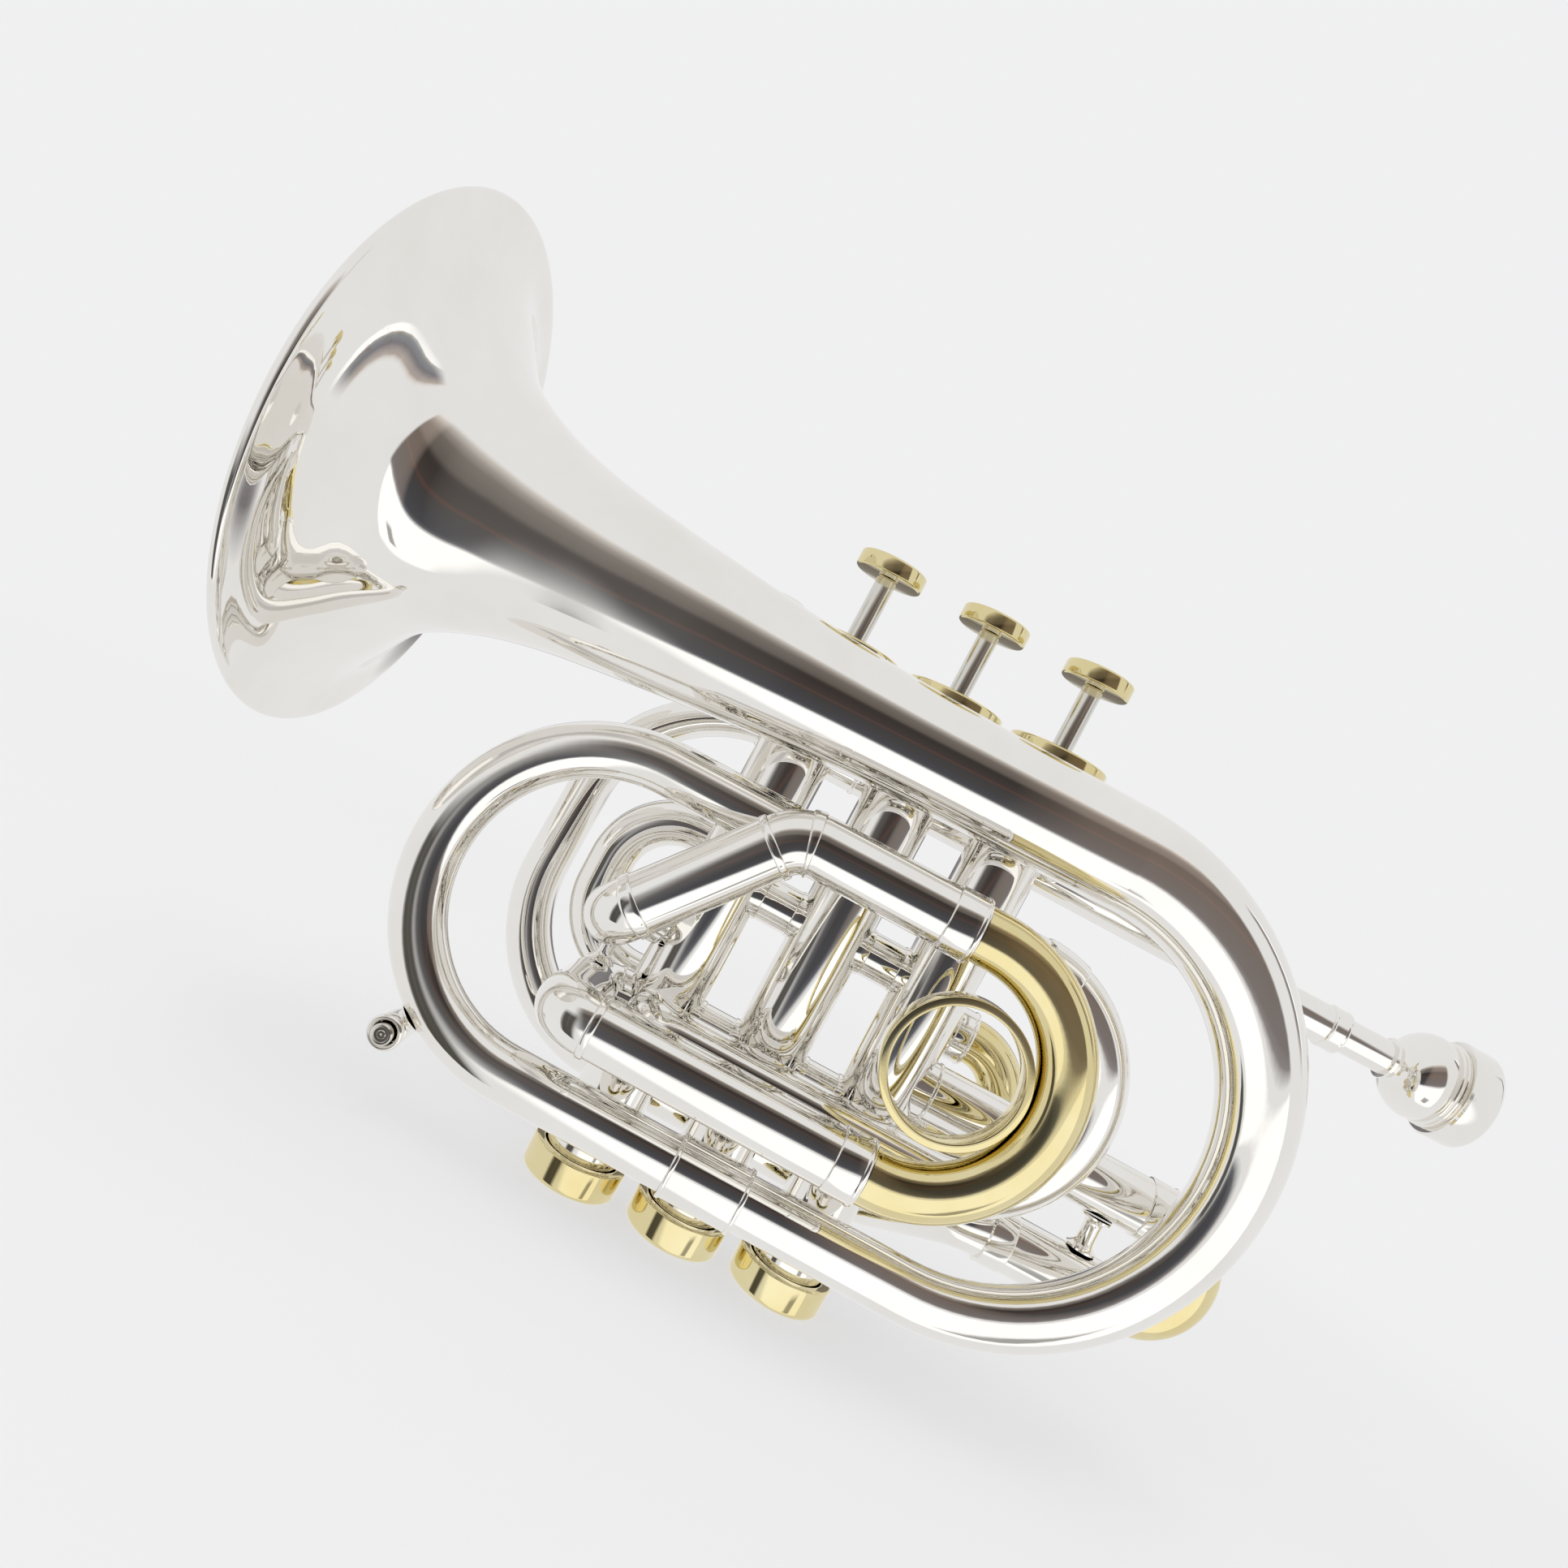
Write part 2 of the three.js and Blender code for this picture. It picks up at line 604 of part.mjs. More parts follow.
// Outline of the bell from mouth to tail, as [distance from the mouth, radius]
function bellOutline() {
  const length = BELL_REACH + BELL_TAIL_START;
  const swell = BELL_RIM_RADIUS - BELL_STEM_RADIUS;
  return BELL_LENGTH_SHARES.map((share, i) => [
    share * length,
    BELL_STEM_RADIUS + BELL_FLARE_SHARES[i] * swell,
  ]);
}

// Radius of the bell's outside at a place along the trumpet
function bellRadiusAt(x) {
  const outline = bellOutline();
  const distance = x + BELL_REACH;
  return along(distance, outline.map(([step]) => step), outline.map(([, radius]) => radius));
}

// Bell with a rolled rim, turned about its own axis
function bell() {
  const outer = bellOutline();
  const inner = outer.map(([distance, radius], i) => {
    const [beforeDistance, beforeRadius] = outer[Math.max(0, i - 1)];
    const [afterDistance, afterRadius] = outer[Math.min(outer.length - 1, i + 1)];
    const slope = Math.atan2(afterRadius - beforeRadius, afterDistance - beforeDistance);
    return [distance + BELL_WALL * Math.sin(slope), radius - BELL_WALL * Math.cos(slope)];
  });
  inner[inner.length - 1][0] = outer[outer.length - 1][0];
  const bead = [];
  const beadRadius = BELL_RIM_RADIUS - BELL_BEAD_RADIUS;
  for (let k = 0; k <= BELL_BEAD_STEPS; k += 1) {
    const angle = Math.PI * (k / BELL_BEAD_STEPS) - Math.PI / 4;
    bead.push([
      BELL_BEAD_RADIUS - BELL_BEAD_RADIUS * Math.sin(angle),
      beadRadius + BELL_BEAD_RADIUS * Math.cos(angle),
    ]);
  }
  const profile = [...bead, ...inner, ...outer.slice().reverse(), bead[0]];
  const points = profile.map(([distance, radius]) => [radius, distance]);
  const geometry = turned(points, BELL_SIDES).rotateY(Math.PI / 2);
  return geometry.translate(-BELL_REACH, BELL_LAYER, BELL_HEIGHT);
}

function addBell() {
  piece('bell', bell(), SILVER_PLATE);
  const bend = (BELL_HEIGHT - BOTTOM_LEG_HEIGHT) / 2;
  const bowX = BELL_TAIL_START + SEAT_GAP + bend;
  const stations = route([
    at(BELL_TAIL_START + SEAT_GAP, BELL_LAYER, BELL_HEIGHT),
    at(bowX, BELL_LAYER, BELL_HEIGHT),
    at(bowX, BELL_LAYER, BOTTOM_LEG_HEIGHT),
    at(SEAT_GAP / 2, BELL_LAYER, BOTTOM_LEG_HEIGHT),
  ], [bend, bend]);
  const taper = BELL_STEM_RADIUS - LEG_RADIUS;
  const radiusAt = (share) => LEG_RADIUS
    + taper * along(share, BELL_TAIL_LENGTH_SHARES, BELL_TAIL_TAPER_SHARES);
  const tail = sweep(stations, radiusAt, (share) => radiusAt(share) - TUBE_WALL);
  piece('bell_tail_bow', tail, SILVER_PLATE);
  const half = BELL_FERRULE_LENGTH / 2;
  const sleeve = [at(-half, BELL_LAYER, BOTTOM_LEG_HEIGHT), at(half, BELL_LAYER, BOTTOM_LEG_HEIGHT)];
  piece('bell_ferrule', pipe(sleeve, [], LEG_RADIUS + SEAT_GAP + FERRULE_WALL, FERRULE_WALL), SILVER_PLATE);
}

// Corners of the front bow, from the bell ferrule round to the top leg
function frontBowCorners() {
  const bottom = at(0, BELL_LAYER, BOTTOM_LEG_HEIGHT);
  const top = at(0, NEAR_LAYER, TOP_LEG_HEIGHT);
  const bend = bottom.distanceTo(top) / 2;
  const bowX = -FRONT_BOW_START - bend;
  return {
    bend,
    corners: [
      at(-SEAT_GAP / 2, bottom.y, bottom.z),
      at(bowX, bottom.y, bottom.z),
      at(bowX, top.y, top.z),
      at(REAR_BOW_START - SEAT_GAP, top.y, top.z),
    ],
  };
}

function addFrontBow() {
  const { bend, corners } = frontBowCorners();
  piece('front_bow', pipe(corners, [bend, bend], LEG_RADIUS, TUBE_WALL), SILVER_PLATE);
}

// Inner bow behind the first valve, whose lower leg runs forward into the third valve
function addRearBow() {
  const bend = (TOP_LEG_HEIGHT - REAR_LEG_HEIGHT) / 2;
  const bowX = REAR_BOW_START + bend;
  const tube = pipe([
    at(REAR_BOW_START, NEAR_LAYER, TOP_LEG_HEIGHT),
    at(bowX, NEAR_LAYER, TOP_LEG_HEIGHT),
    at(bowX, NEAR_LAYER, REAR_LEG_HEIGHT),
    at(THIRD_VALVE_X, NEAR_LAYER, REAR_LEG_HEIGHT),
    at(THIRD_VALVE_X, 0, REAR_LEG_HEIGHT),
  ], [bend, bend, REAR_LEG_BEND], LEG_RADIUS, TUBE_WALL);
  piece('rear_bow', cut(tube, casingTool(THIRD_VALVE_X)), SILVER_PLATE);
}

// Fixed legs of the third valve slide, from the slide's mouth back to the casing
function addThirdLegs() {
  const rise = THIRD_UPPER_HEIGHT - THIRD_PORT_HEIGHT;
  const kneeX = THIRD_ELBOW_X + THIRD_SLANT_RUN;
  const slant = Math.atan2(rise, THIRD_SLANT_RUN);
  const upper = ferruledPipe([
    at(THIRD_UPPER_END, THIRD_LAYER, THIRD_UPPER_HEIGHT),
    at(kneeX, THIRD_LAYER, THIRD_UPPER_HEIGHT),
    at(THIRD_ELBOW_X, THIRD_LAYER, THIRD_PORT_HEIGHT),
    at(THIRD_ELBOW_X, 0, THIRD_PORT_HEIGHT),
    at(THIRD_VALVE_X, 0, THIRD_PORT_HEIGHT),
  ], [THIRD_KNEE_BEND / Math.cos(slant / 2), THIRD_ELBOW_BEND, THIRD_ELBOW_BEND], THIRD_OUTER_RADIUS, SLIDE_WALL);
  const lower = ferruledPipe([
    at(THIRD_LOWER_END, THIRD_LAYER, THIRD_LOWER_HEIGHT),
    at(THIRD_ELBOW_X, THIRD_LAYER, THIRD_LOWER_HEIGHT),
    at(THIRD_ELBOW_X, 0, THIRD_LOWER_HEIGHT),
    at(THIRD_VALVE_X, 0, THIRD_LOWER_HEIGHT),
  ], [THIRD_ELBOW_BEND, THIRD_ELBOW_BEND], THIRD_OUTER_RADIUS, SLIDE_WALL);
  piece('third_upper_leg', cut(upper, casingTool(THIRD_VALVE_X)), SILVER_PLATE);
  piece('third_lower_leg', cut(lower, casingTool(THIRD_VALVE_X)), SILVER_PLATE);
  const reach = THIRD_OUTER_RADIUS + SEAT_GAP;
  piece('third_leg_post', bar(
    at(THIRD_ELBOW_X, -THIRD_ELBOW_BEND, THIRD_LOWER_HEIGHT + reach),
    at(THIRD_ELBOW_X, -THIRD_ELBOW_BEND, THIRD_PORT_HEIGHT - reach),
    POST_RADIUS,
  ), SILVER_PLATE);
}

// Moving part of the third valve slide, with the ring finger's ring
function addThirdSlide() {
  const bend = (THIRD_UPPER_HEIGHT - THIRD_LOWER_HEIGHT) / 2;
  const bowX = THIRD_BOW_START + bend;
  piece('third_slide_bow', pipe([
    at(THIRD_UPPER_END + SEAT_GAP, THIRD_LAYER, THIRD_UPPER_HEIGHT),
    at(bowX, THIRD_LAYER, THIRD_UPPER_HEIGHT),
    at(bowX, THIRD_LAYER, THIRD_LOWER_HEIGHT),
    at(THIRD_LOWER_END + SEAT_GAP, THIRD_LAYER, THIRD_LOWER_HEIGHT),
  ], [bend, bend], THIRD_INNER_RADIUS + SLIDE_GAP, TUBE_WALL), LACQUERED_BRASS);
  const tubes = [
    ['upper', THIRD_UPPER_END, THIRD_UPPER_INSET, THIRD_UPPER_HEIGHT],
    ['lower', THIRD_LOWER_END, THIRD_LOWER_INSET, THIRD_LOWER_HEIGHT],
  ];
  for (const [level, end, inset, height] of tubes) {
    const ends = [at(end, THIRD_LAYER, height), at(end - inset, THIRD_LAYER, height)];
    piece(`third_slide_tube_${level}`, pipe(ends, [], THIRD_INNER_RADIUS, SLIDE_WALL), NICKEL_SILVER);
  }
  const bowInside = bend - THIRD_INNER_RADIUS - SLIDE_GAP;
  const ringX = THIRD_BOW_START + bowInside - SEAT_GAP - RING_RADIUS;
  const ring = turned([
    [RING_RADIUS, -RING_WIDTH / 2],
    [RING_RADIUS, RING_WIDTH / 2],
    [RING_RADIUS - RING_WALL, RING_WIDTH / 2],
    [RING_RADIUS - RING_WALL, -RING_WIDTH / 2],
    [RING_RADIUS, -RING_WIDTH / 2],
  ]).rotateX(Math.PI / 2);
  const ringHeight = (THIRD_UPPER_HEIGHT + THIRD_LOWER_HEIGHT) / 2;
  piece('finger_ring', ring, LACQUERED_BRASS).position.set(ringX, THIRD_LAYER, ringHeight);
}

// Bow at the front of the third valve, joining its upper and lower ports
function addCrossover() {
  const bowX = THIRD_VALVE_X - CROSSOVER_REACH;
  const tube = pipe([
    at(THIRD_VALVE_X, 0, CROSSOVER_UPPER_HEIGHT),
    at(THIRD_VALVE_X, CROSSOVER_OFFSET, CROSSOVER_UPPER_HEIGHT),
    at(bowX, CROSSOVER_OFFSET, CROSSOVER_UPPER_HEIGHT),
    at(bowX, CROSSOVER_OFFSET, CROSSOVER_LOWER_HEIGHT),
    at(THIRD_VALVE_X, CROSSOVER_OFFSET, CROSSOVER_LOWER_HEIGHT),
    at(THIRD_VALVE_X, 0, CROSSOVER_LOWER_HEIGHT),
  ], [
    CROSSOVER_ELBOW_BEND, CROSSOVER_BEND, CROSSOVER_BEND, CROSSOVER_ELBOW_BEND,
  ], CROSSOVER_RADIUS, TUBE_WALL);
  piece('crossover_bow', cut(tube, casingTool(THIRD_VALVE_X)), SILVER_PLATE);
}

// Main tuning slide, whose upper leg feeds the first valve
function addTuningSlide() {
  const upper = ferruledPipe([
    at(TUNING_END, 0, TUNING_UPPER_HEIGHT),
    at(FIRST_VALVE_X, 0, TUNING_UPPER_HEIGHT),
  ], [], TUNING_OUTER_RADIUS, SLIDE_WALL);
  piece('tuning_upper_leg', cut(upper, casingTool(FIRST_VALVE_X)), SILVER_PLATE);
  const lower = ferruledPipe([
    at(TUNING_END, 0, TUNING_LOWER_HEIGHT),
    at(TUNING_LOWER_START, 0, TUNING_LOWER_HEIGHT),
  ], [], TUNING_OUTER_RADIUS, SLIDE_WALL);
  piece('tuning_lower_leg', lower, SILVER_PLATE);
  const bend = (TUNING_UPPER_HEIGHT - TUNING_LOWER_HEIGHT) / 2;
  const bowX = TUNING_END + SEAT_GAP + bend;
  piece('tuning_slide', pipe([
    at(TUNING_END - TUNING_UPPER_INSET, 0, TUNING_UPPER_HEIGHT),
    at(bowX, 0, TUNING_UPPER_HEIGHT),
    at(bowX, 0, TUNING_LOWER_HEIGHT),
    at(TUNING_END - TUNING_LOWER_INSET, 0, TUNING_LOWER_HEIGHT),
  ], [bend, bend], TUNING_INNER_RADIUS, SLIDE_WALL), LACQUERED_BRASS);
  const reach = TUNING_OUTER_RADIUS + SEAT_GAP;
  piece('tuning_brace', brace(
    at(TUNING_BRACE_X, 0, TUNING_LOWER_HEIGHT + reach),
    at(TUNING_BRACE_X, 0, TUNING_UPPER_HEIGHT - reach),
  ), SILVER_PLATE);
}

// Leadpipe, its bow and the leg that returns along the far side to the tuning slide
function addLeadpipe() {
  const start = at(LEADPIPE_START, LEADPIPE_OFFSET, LEADPIPE_HEIGHT);
  const bowTop = at(LEADPIPE_BOW_START, LEADPIPE_OFFSET, LEADPIPE_HEIGHT);
  piece('leadpipe', pipe([start, bowTop], [], LEADPIPE_RADIUS, TUBE_WALL), SILVER_PLATE);
  const bowX = LEADPIPE_BOW_START - LEADPIPE_BOW_BEND;
  const stations = route([
    at(LEADPIPE_BOW_START - SEAT_GAP, LEADPIPE_OFFSET, LEADPIPE_HEIGHT),
    at(bowX, LEADPIPE_OFFSET, LEADPIPE_HEIGHT),
    at(bowX, FAR_LEG_OFFSET, FAR_LEG_HEIGHT),
    at(FAR_LEG_JOIN - SEAT_GAP, FAR_LEG_OFFSET, FAR_LEG_HEIGHT),
  ], [LEADPIPE_BOW_BEND - SEAT_GAP, LEADPIPE_BOW_BEND - SEAT_GAP]);
  const radiusAt = (share) => THREE.MathUtils.lerp(LEADPIPE_RADIUS, LEG_RADIUS, share);
  piece('leadpipe_bow', sweep(stations, radiusAt, (share) => radiusAt(share) - TUBE_WALL), SILVER_PLATE);
  piece('far_leg', pipe([
    at(FAR_LEG_JOIN, FAR_LEG_OFFSET, FAR_LEG_HEIGHT),
    at(FAR_LEG_RISE_START, FAR_LEG_OFFSET, FAR_LEG_HEIGHT),
    at(FAR_LEG_RISE_END, 0, TUNING_LOWER_HEIGHT),
    at(TUNING_LOWER_START - SEAT_GAP, 0, TUNING_LOWER_HEIGHT),
  ], [FAR_LEG_BEND, FAR_LEG_BEND], LEG_RADIUS, TUBE_WALL), SILVER_PLATE);
}

// Receiver that holds the mouthpiece, with its end ring
function receiver() {
  const bore = MOUTHPIECE_SHANK_RADIUS + SLIDE_GAP;
  const ringStart = RECEIVER_END - RECEIVER_RING_LENGTH;
  const start = LEADPIPE_START + SEAT_GAP;
  return turned([
    [RECEIVER_RADIUS, start],
    [RECEIVER_RADIUS, ringStart],
    [RECEIVER_RING_RADIUS, ringStart],
    [RECEIVER_RING_RADIUS, RECEIVER_END],
    [bore, RECEIVER_END],
    [bore, start],
    [RECEIVER_RADIUS, start],
  ], FINE_SIDES).rotateY(Math.PI / 2).translate(0, LEADPIPE_OFFSET, LEADPIPE_HEIGHT);
}

// Mouthpiece turned in one piece, with its cup, throat and backbore
function mouthpiece() {
  const rim = MOUTHPIECE_END;
  const band = rim - MOUTHPIECE_BAND_LENGTH;
  const bead = band - MOUTHPIECE_BEAD_LENGTH;
  const neck = bead - MOUTHPIECE_CUP_LENGTH;
  const tip = RECEIVER_END - MOUTHPIECE_INSET;
  const cupFloor = rim - MOUTHPIECE_CUP_DEPTH;
  return turned([
    [MOUTHPIECE_BACKBORE_RADIUS, tip],
    [MOUTHPIECE_TIP_RADIUS, tip],
    [MOUTHPIECE_SHANK_RADIUS, RECEIVER_END],
    [MOUTHPIECE_SHANK_RADIUS, neck],
    [MOUTHPIECE_NECK_RADIUS, neck],
    [MOUTHPIECE_RADIUS - MOUTHPIECE_BEAD_LENGTH, bead],
    [MOUTHPIECE_RADIUS, bead],
    [MOUTHPIECE_RADIUS, rim - MOUTHPIECE_RIM_ROUNDING],
    [MOUTHPIECE_RADIUS - MOUTHPIECE_RIM_ROUNDING, rim],
    [MOUTHPIECE_CUP_RADIUS + MOUTHPIECE_RIM_ROUNDING, rim],
    [MOUTHPIECE_CUP_RADIUS, rim - MOUTHPIECE_RIM_ROUNDING],
    [MOUTHPIECE_THROAT_RADIUS, cupFloor],
    [MOUTHPIECE_THROAT_RADIUS, neck],
    [MOUTHPIECE_BACKBORE_RADIUS, tip],
  ]).rotateY(Math.PI / 2).translate(0, LEADPIPE_OFFSET, LEADPIPE_HEIGHT);
}

function addMouthpiece() {
  piece('mouthpiece_receiver', receiver(), SILVER_PLATE);
  piece('mouthpiece', mouthpiece(), SILVER_PLATE);
}

// First valve slide on the far side, its legs turned back towards the player
function addFirstSlide() {
  const legs = [['upper', FIRST_UPPER_HEIGHT], ['lower', FIRST_LOWER_HEIGHT]];
  for (const [level, height] of legs) {
    const tube = pipe([
      at(FIRST_END, FIRST_OFFSET, height),
      at(FIRST_VALVE_X, FIRST_OFFSET, height),
      at(FIRST_VALVE_X, 0, height),
    ], [FIRST_ELBOW_BEND], SMALL_OUTER_RADIUS, SLIDE_WALL);
    piece(`first_${level}_leg`, cut(tube, casingTool(FIRST_VALVE_X)), SILVER_PLATE);
  }
  const bend = (FIRST_UPPER_HEIGHT - FIRST_LOWER_HEIGHT) / 2;
  const bowX = FIRST_END + BOW_STRAIGHT + bend;
  piece('first_slide', pipe([
    at(FIRST_END - FIRST_INSET, FIRST_OFFSET, FIRST_UPPER_HEIGHT),
    at(bowX, FIRST_OFFSET, FIRST_UPPER_HEIGHT),
    at(bowX, FIRST_OFFSET, FIRST_LOWER_HEIGHT),
    at(FIRST_END - FIRST_INSET, FIRST_OFFSET, FIRST_LOWER_HEIGHT),
  ], [bend, bend], SMALL_INNER_RADIUS, SLIDE_WALL), LACQUERED_BRASS);
}

// Second valve slide, straight out to the player's right
function addSecondSlide() {
  for (const [level, height] of [['upper', SECOND_UPPER_HEIGHT], ['lower', SECOND_LOWER_HEIGHT]]) {
    const tube = pipe([at(0, SECOND_END, height), at(0, 0, height)], [], SMALL_OUTER_RADIUS, SLIDE_WALL);
    piece(`second_${level}_leg`, cut(tube, casingTool(0)), SILVER_PLATE);
  }
  const bend = (SECOND_UPPER_HEIGHT - SECOND_LOWER_HEIGHT) / 2;
  const bowY = SECOND_END + BOW_STRAIGHT + bend;
  piece('second_slide', pipe([
    at(0, SECOND_END - SECOND_INSET, SECOND_UPPER_HEIGHT),
    at(0, bowY, SECOND_UPPER_HEIGHT),
    at(0, bowY, SECOND_LOWER_HEIGHT),
    at(0, SECOND_END - SECOND_INSET, SECOND_LOWER_HEIGHT),
  ], [bend, bend], SMALL_INNER_RADIUS, SLIDE_WALL), LACQUERED_BRASS);
}

// Push button water key on the low side of the front bow
function addWaterKey() {
  const { bend, corners } = frontBowCorners();
  const middle = corners[1].clone().lerp(corners[2], 1 / 2);
  const down = corners[1].clone().sub(corners[2]).normalize();
  const forward = Math.sqrt(1 - KEY_DROP_SHARE ** 2);
  const outwardWay = down.multiplyScalar(KEY_DROP_SHARE).addScaledVector(FORWARD, forward);
  const bowCentre = middle.clone().setX(-FRONT_BOW_START);
  const barrelAt = bowCentre.clone().addScaledVector(
    outwardWay,
    bend + LEG_RADIUS + KEY_STAND_OFF + KEY_BARREL_RADIUS,
  );
  const half = KEY_BARREL_LENGTH / 2;
  const bore = KEY_PLUNGER_RADIUS + SEAT_GAP;
  const depth = KEY_PLUNGER_LENGTH;
  const barrel = turned([
    [0, -half],
    [KEY_BARREL_RADIUS, -half],
    [KEY_BARREL_RADIUS, half],
    [bore, half],
    [bore, half - depth],
    [0, half - depth],
  ]).rotateX(Math.PI / 2).translate(barrelAt.x, barrelAt.y, barrelAt.z);
  const tubeAt = bowCentre.clone().addScaledVector(outwardWay, bend + LEG_RADIUS + SEAT_GAP);
  const wallAt = barrelAt.clone().addScaledVector(outwardWay, -(bore + KEY_BARREL_RADIUS) / 2);
  const saddle = bar(tubeAt, wallAt, KEY_SADDLE_RADIUS);
  piece('water_key_body', join(barrel, saddle), SILVER_PLATE);
  const plunger = bar(
    at(barrelAt.x, barrelAt.y - half - KEY_STAND_OUT, barrelAt.z),
    at(barrelAt.x, barrelAt.y - half + KEY_PLUNGER_LENGTH - KEY_STAND_OUT * 2, barrelAt.z),
    KEY_PLUNGER_RADIUS,
  );
  piece('water_key_plunger', plunger, NICKEL_SILVER);
}

// Hook on the leadpipe for the little finger
function addHook() {
  const base = LEADPIPE_HEIGHT + LEADPIPE_RADIUS + SEAT_GAP;
  const top = base + HOOK_HEIGHT;
  const stations = route([
    at(HOOK_X, LEADPIPE_OFFSET, base),
    at(HOOK_X, LEADPIPE_OFFSET, top),
    at(HOOK_X - HOOK_REACH, LEADPIPE_OFFSET, top),
    at(HOOK_X - HOOK_REACH, LEADPIPE_OFFSET, top - HOOK_TIP_DROP),
  ], [HOOK_BEND, HOOK_BEND]);
  piece('little_finger_hook', sweep(stations, () => HOOK_RADIUS), SILVER_PLATE);
}

// Braces from the leadpipe across to the bell
function addBraces() {
  for (const [name, x] of [['bell_brace_front', FRONT_BRACE_X], ['bell_brace_rear', REAR_BRACE_X]]) {
    const drop = Math.max(0, BELL_HEIGHT - BRACE_HEIGHT - BRACE_FLANGE_RADIUS);
    const bellRadius = bellRadiusAt(x - BRACE_FLANGE_RADIUS);
    const bellSide = BELL_LAYER + Math.sqrt(bellRadius ** 2 - drop ** 2) + SEAT_GAP;
    const pipeSide = LEADPIPE_OFFSET - LEADPIPE_RADIUS - SEAT_GAP;
    piece(name, brace(at(x, bellSide, BRACE_HEIGHT), at(x, pipeSide, BRACE_HEIGHT)), SILVER_PLATE);
  }
}

addValves();
addKnuckles();
addBell();
addFrontBow();
addRearBow();
addThirdLegs();
addThirdSlide();
addCrossover();
addTuningSlide();
addLeadpipe();
addMouthpiece();
addFirstSlide();
addSecondSlide();
addWaterKey();
addHook();
addBraces();

export default trumpet;
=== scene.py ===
"""Looks of a pocket trumpet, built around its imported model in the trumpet's own frame.

+X points to the mouthpiece, -X to the bell mouth, -Y to the player's left and +Z up the valves.
Sizes are in millimetres and become metres when a mesh is finished.
"""
import logging
import math
from collections.abc import Callable, Iterable, Sequence
from dataclasses import dataclass, field
from enum import Enum

import bmesh
import bpy
from mathutils import Matrix, Quaternion, Vector

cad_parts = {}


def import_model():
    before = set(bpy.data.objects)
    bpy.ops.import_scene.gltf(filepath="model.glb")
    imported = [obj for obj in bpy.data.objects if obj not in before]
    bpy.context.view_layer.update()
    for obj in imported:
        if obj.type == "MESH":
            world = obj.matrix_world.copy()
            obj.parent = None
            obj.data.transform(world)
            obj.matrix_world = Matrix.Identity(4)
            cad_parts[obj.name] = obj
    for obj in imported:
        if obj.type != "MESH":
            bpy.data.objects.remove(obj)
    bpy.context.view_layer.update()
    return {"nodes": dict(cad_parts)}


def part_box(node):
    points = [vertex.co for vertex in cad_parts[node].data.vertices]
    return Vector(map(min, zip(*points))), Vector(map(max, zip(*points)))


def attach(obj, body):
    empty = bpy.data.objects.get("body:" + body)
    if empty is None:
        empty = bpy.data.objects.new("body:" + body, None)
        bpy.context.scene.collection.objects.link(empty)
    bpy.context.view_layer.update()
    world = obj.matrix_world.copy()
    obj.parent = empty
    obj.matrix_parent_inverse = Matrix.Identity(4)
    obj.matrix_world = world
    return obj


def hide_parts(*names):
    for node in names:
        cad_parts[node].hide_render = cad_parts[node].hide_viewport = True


log = logging.getLogger("pocket_trumpet")

MM = 0.001
TUBE_SIDES = 48
TURNED_SIDES = 96
BELL_SIDES = 144
HOOK_SIDES = 24
ARC_STEP = math.radians(4)
SHARP_ANGLE = math.radians(32)
SOFTENED_ANGLE = math.radians(25)
BEVEL_SEGMENTS = 4
BEVEL_ROUNDNESS = 0.5
MERGE_DISTANCE = 1e-4
ROUNDING = 1e-6
STEEP = 0.7
STATION_STEP = 0.012
WIRE_STEPS = 8
EDGE_SHARES = (0.0, 0.12, 0.4, 1.0)
BAND_CLEARANCE = 0.02
OVERHANG = 0.5
SEAT_GAP = 0.3
SLIDE_GAP = 0.25
CASING_RADIUS = 9.2
SADDLE_BITE = 0.1
VALVE_X = {1: 28, 2: 0, 3: -28}
HAZE_LOW, HAZE_HIGH = 0.3, 0.7
SMOOTHEST = 0.01

Point = tuple[float, float, float]
Profile = Sequence[tuple[float, float]]
Stop = tuple[float, str] | tuple[float, str, float]


class Slot(Enum):
    """Material slots."""

    SILVER = "silver_plate"
    BRASS = "lacquered_brass"
    NICKEL = "nickel_silver"
    STEEL = "spring_steel"


class BandShape(Enum):
    """Cross-section of a raised ring on a tube."""

    SLEEVE = "flat with a rounded edge"
    WIRE = "half round"


# Materials


def linear(code: str) -> tuple[float, float, float, float]:
    """Turns an sRGB hex colour to linear light.

    Args:
        code: Six hex digits after a hash.

    Returns:
        Red, green, blue and an alpha of one.
    """
    levels = [int(code[i:i + 2], 16) / 255 for i in (1, 3, 5)]
    red, green, blue = (v / 12.92 if v <= 0.04045 else ((v + 0.055) / 1.055) ** 2.4 for v in levels)
    return red, green, blue, 1.0


def add_node(
    tree: bpy.types.NodeTree,
    kind: str,
    settings: dict[str | int, object] | None = None,
    links: dict[str | int, bpy.types.NodeSocket] | None = None,
    stops: Sequence[Stop] = (),
) -> bpy.types.Node:
    """Adds a node with its settings and links.

    Args:
        tree: Tree that gets the node.
        kind: Node type.
        settings: Values by property name, or by input name or number.
        links: Sockets to link, by input name or number.
        stops: Place and hex colour of each stop of a colour ramp, in rising order, with its cover
            where it is less than one.

    Returns:
        The new node.
    """
    node = tree.nodes.new(kind)
    for key, value in (settings or {}).items():
        if isinstance(key, str) and key in node.bl_rna.properties:
            setattr(node, key, value)
        else:
            node.inputs[key].default_value = value
    for key, socket in (links or {}).items():
        tree.links.new(socket, node.inputs[key])
    for k, (place, code, *cover) in enumerate(stops):
        elements = node.color_ramp.elements
        if k == 0:
            elements.remove(elements[1])
            elements[0].position = place
        element = elements.new(place) if k else elements[0]
        element.color = (*linear(code)[:3], *(cover or [1.0]))
    return node


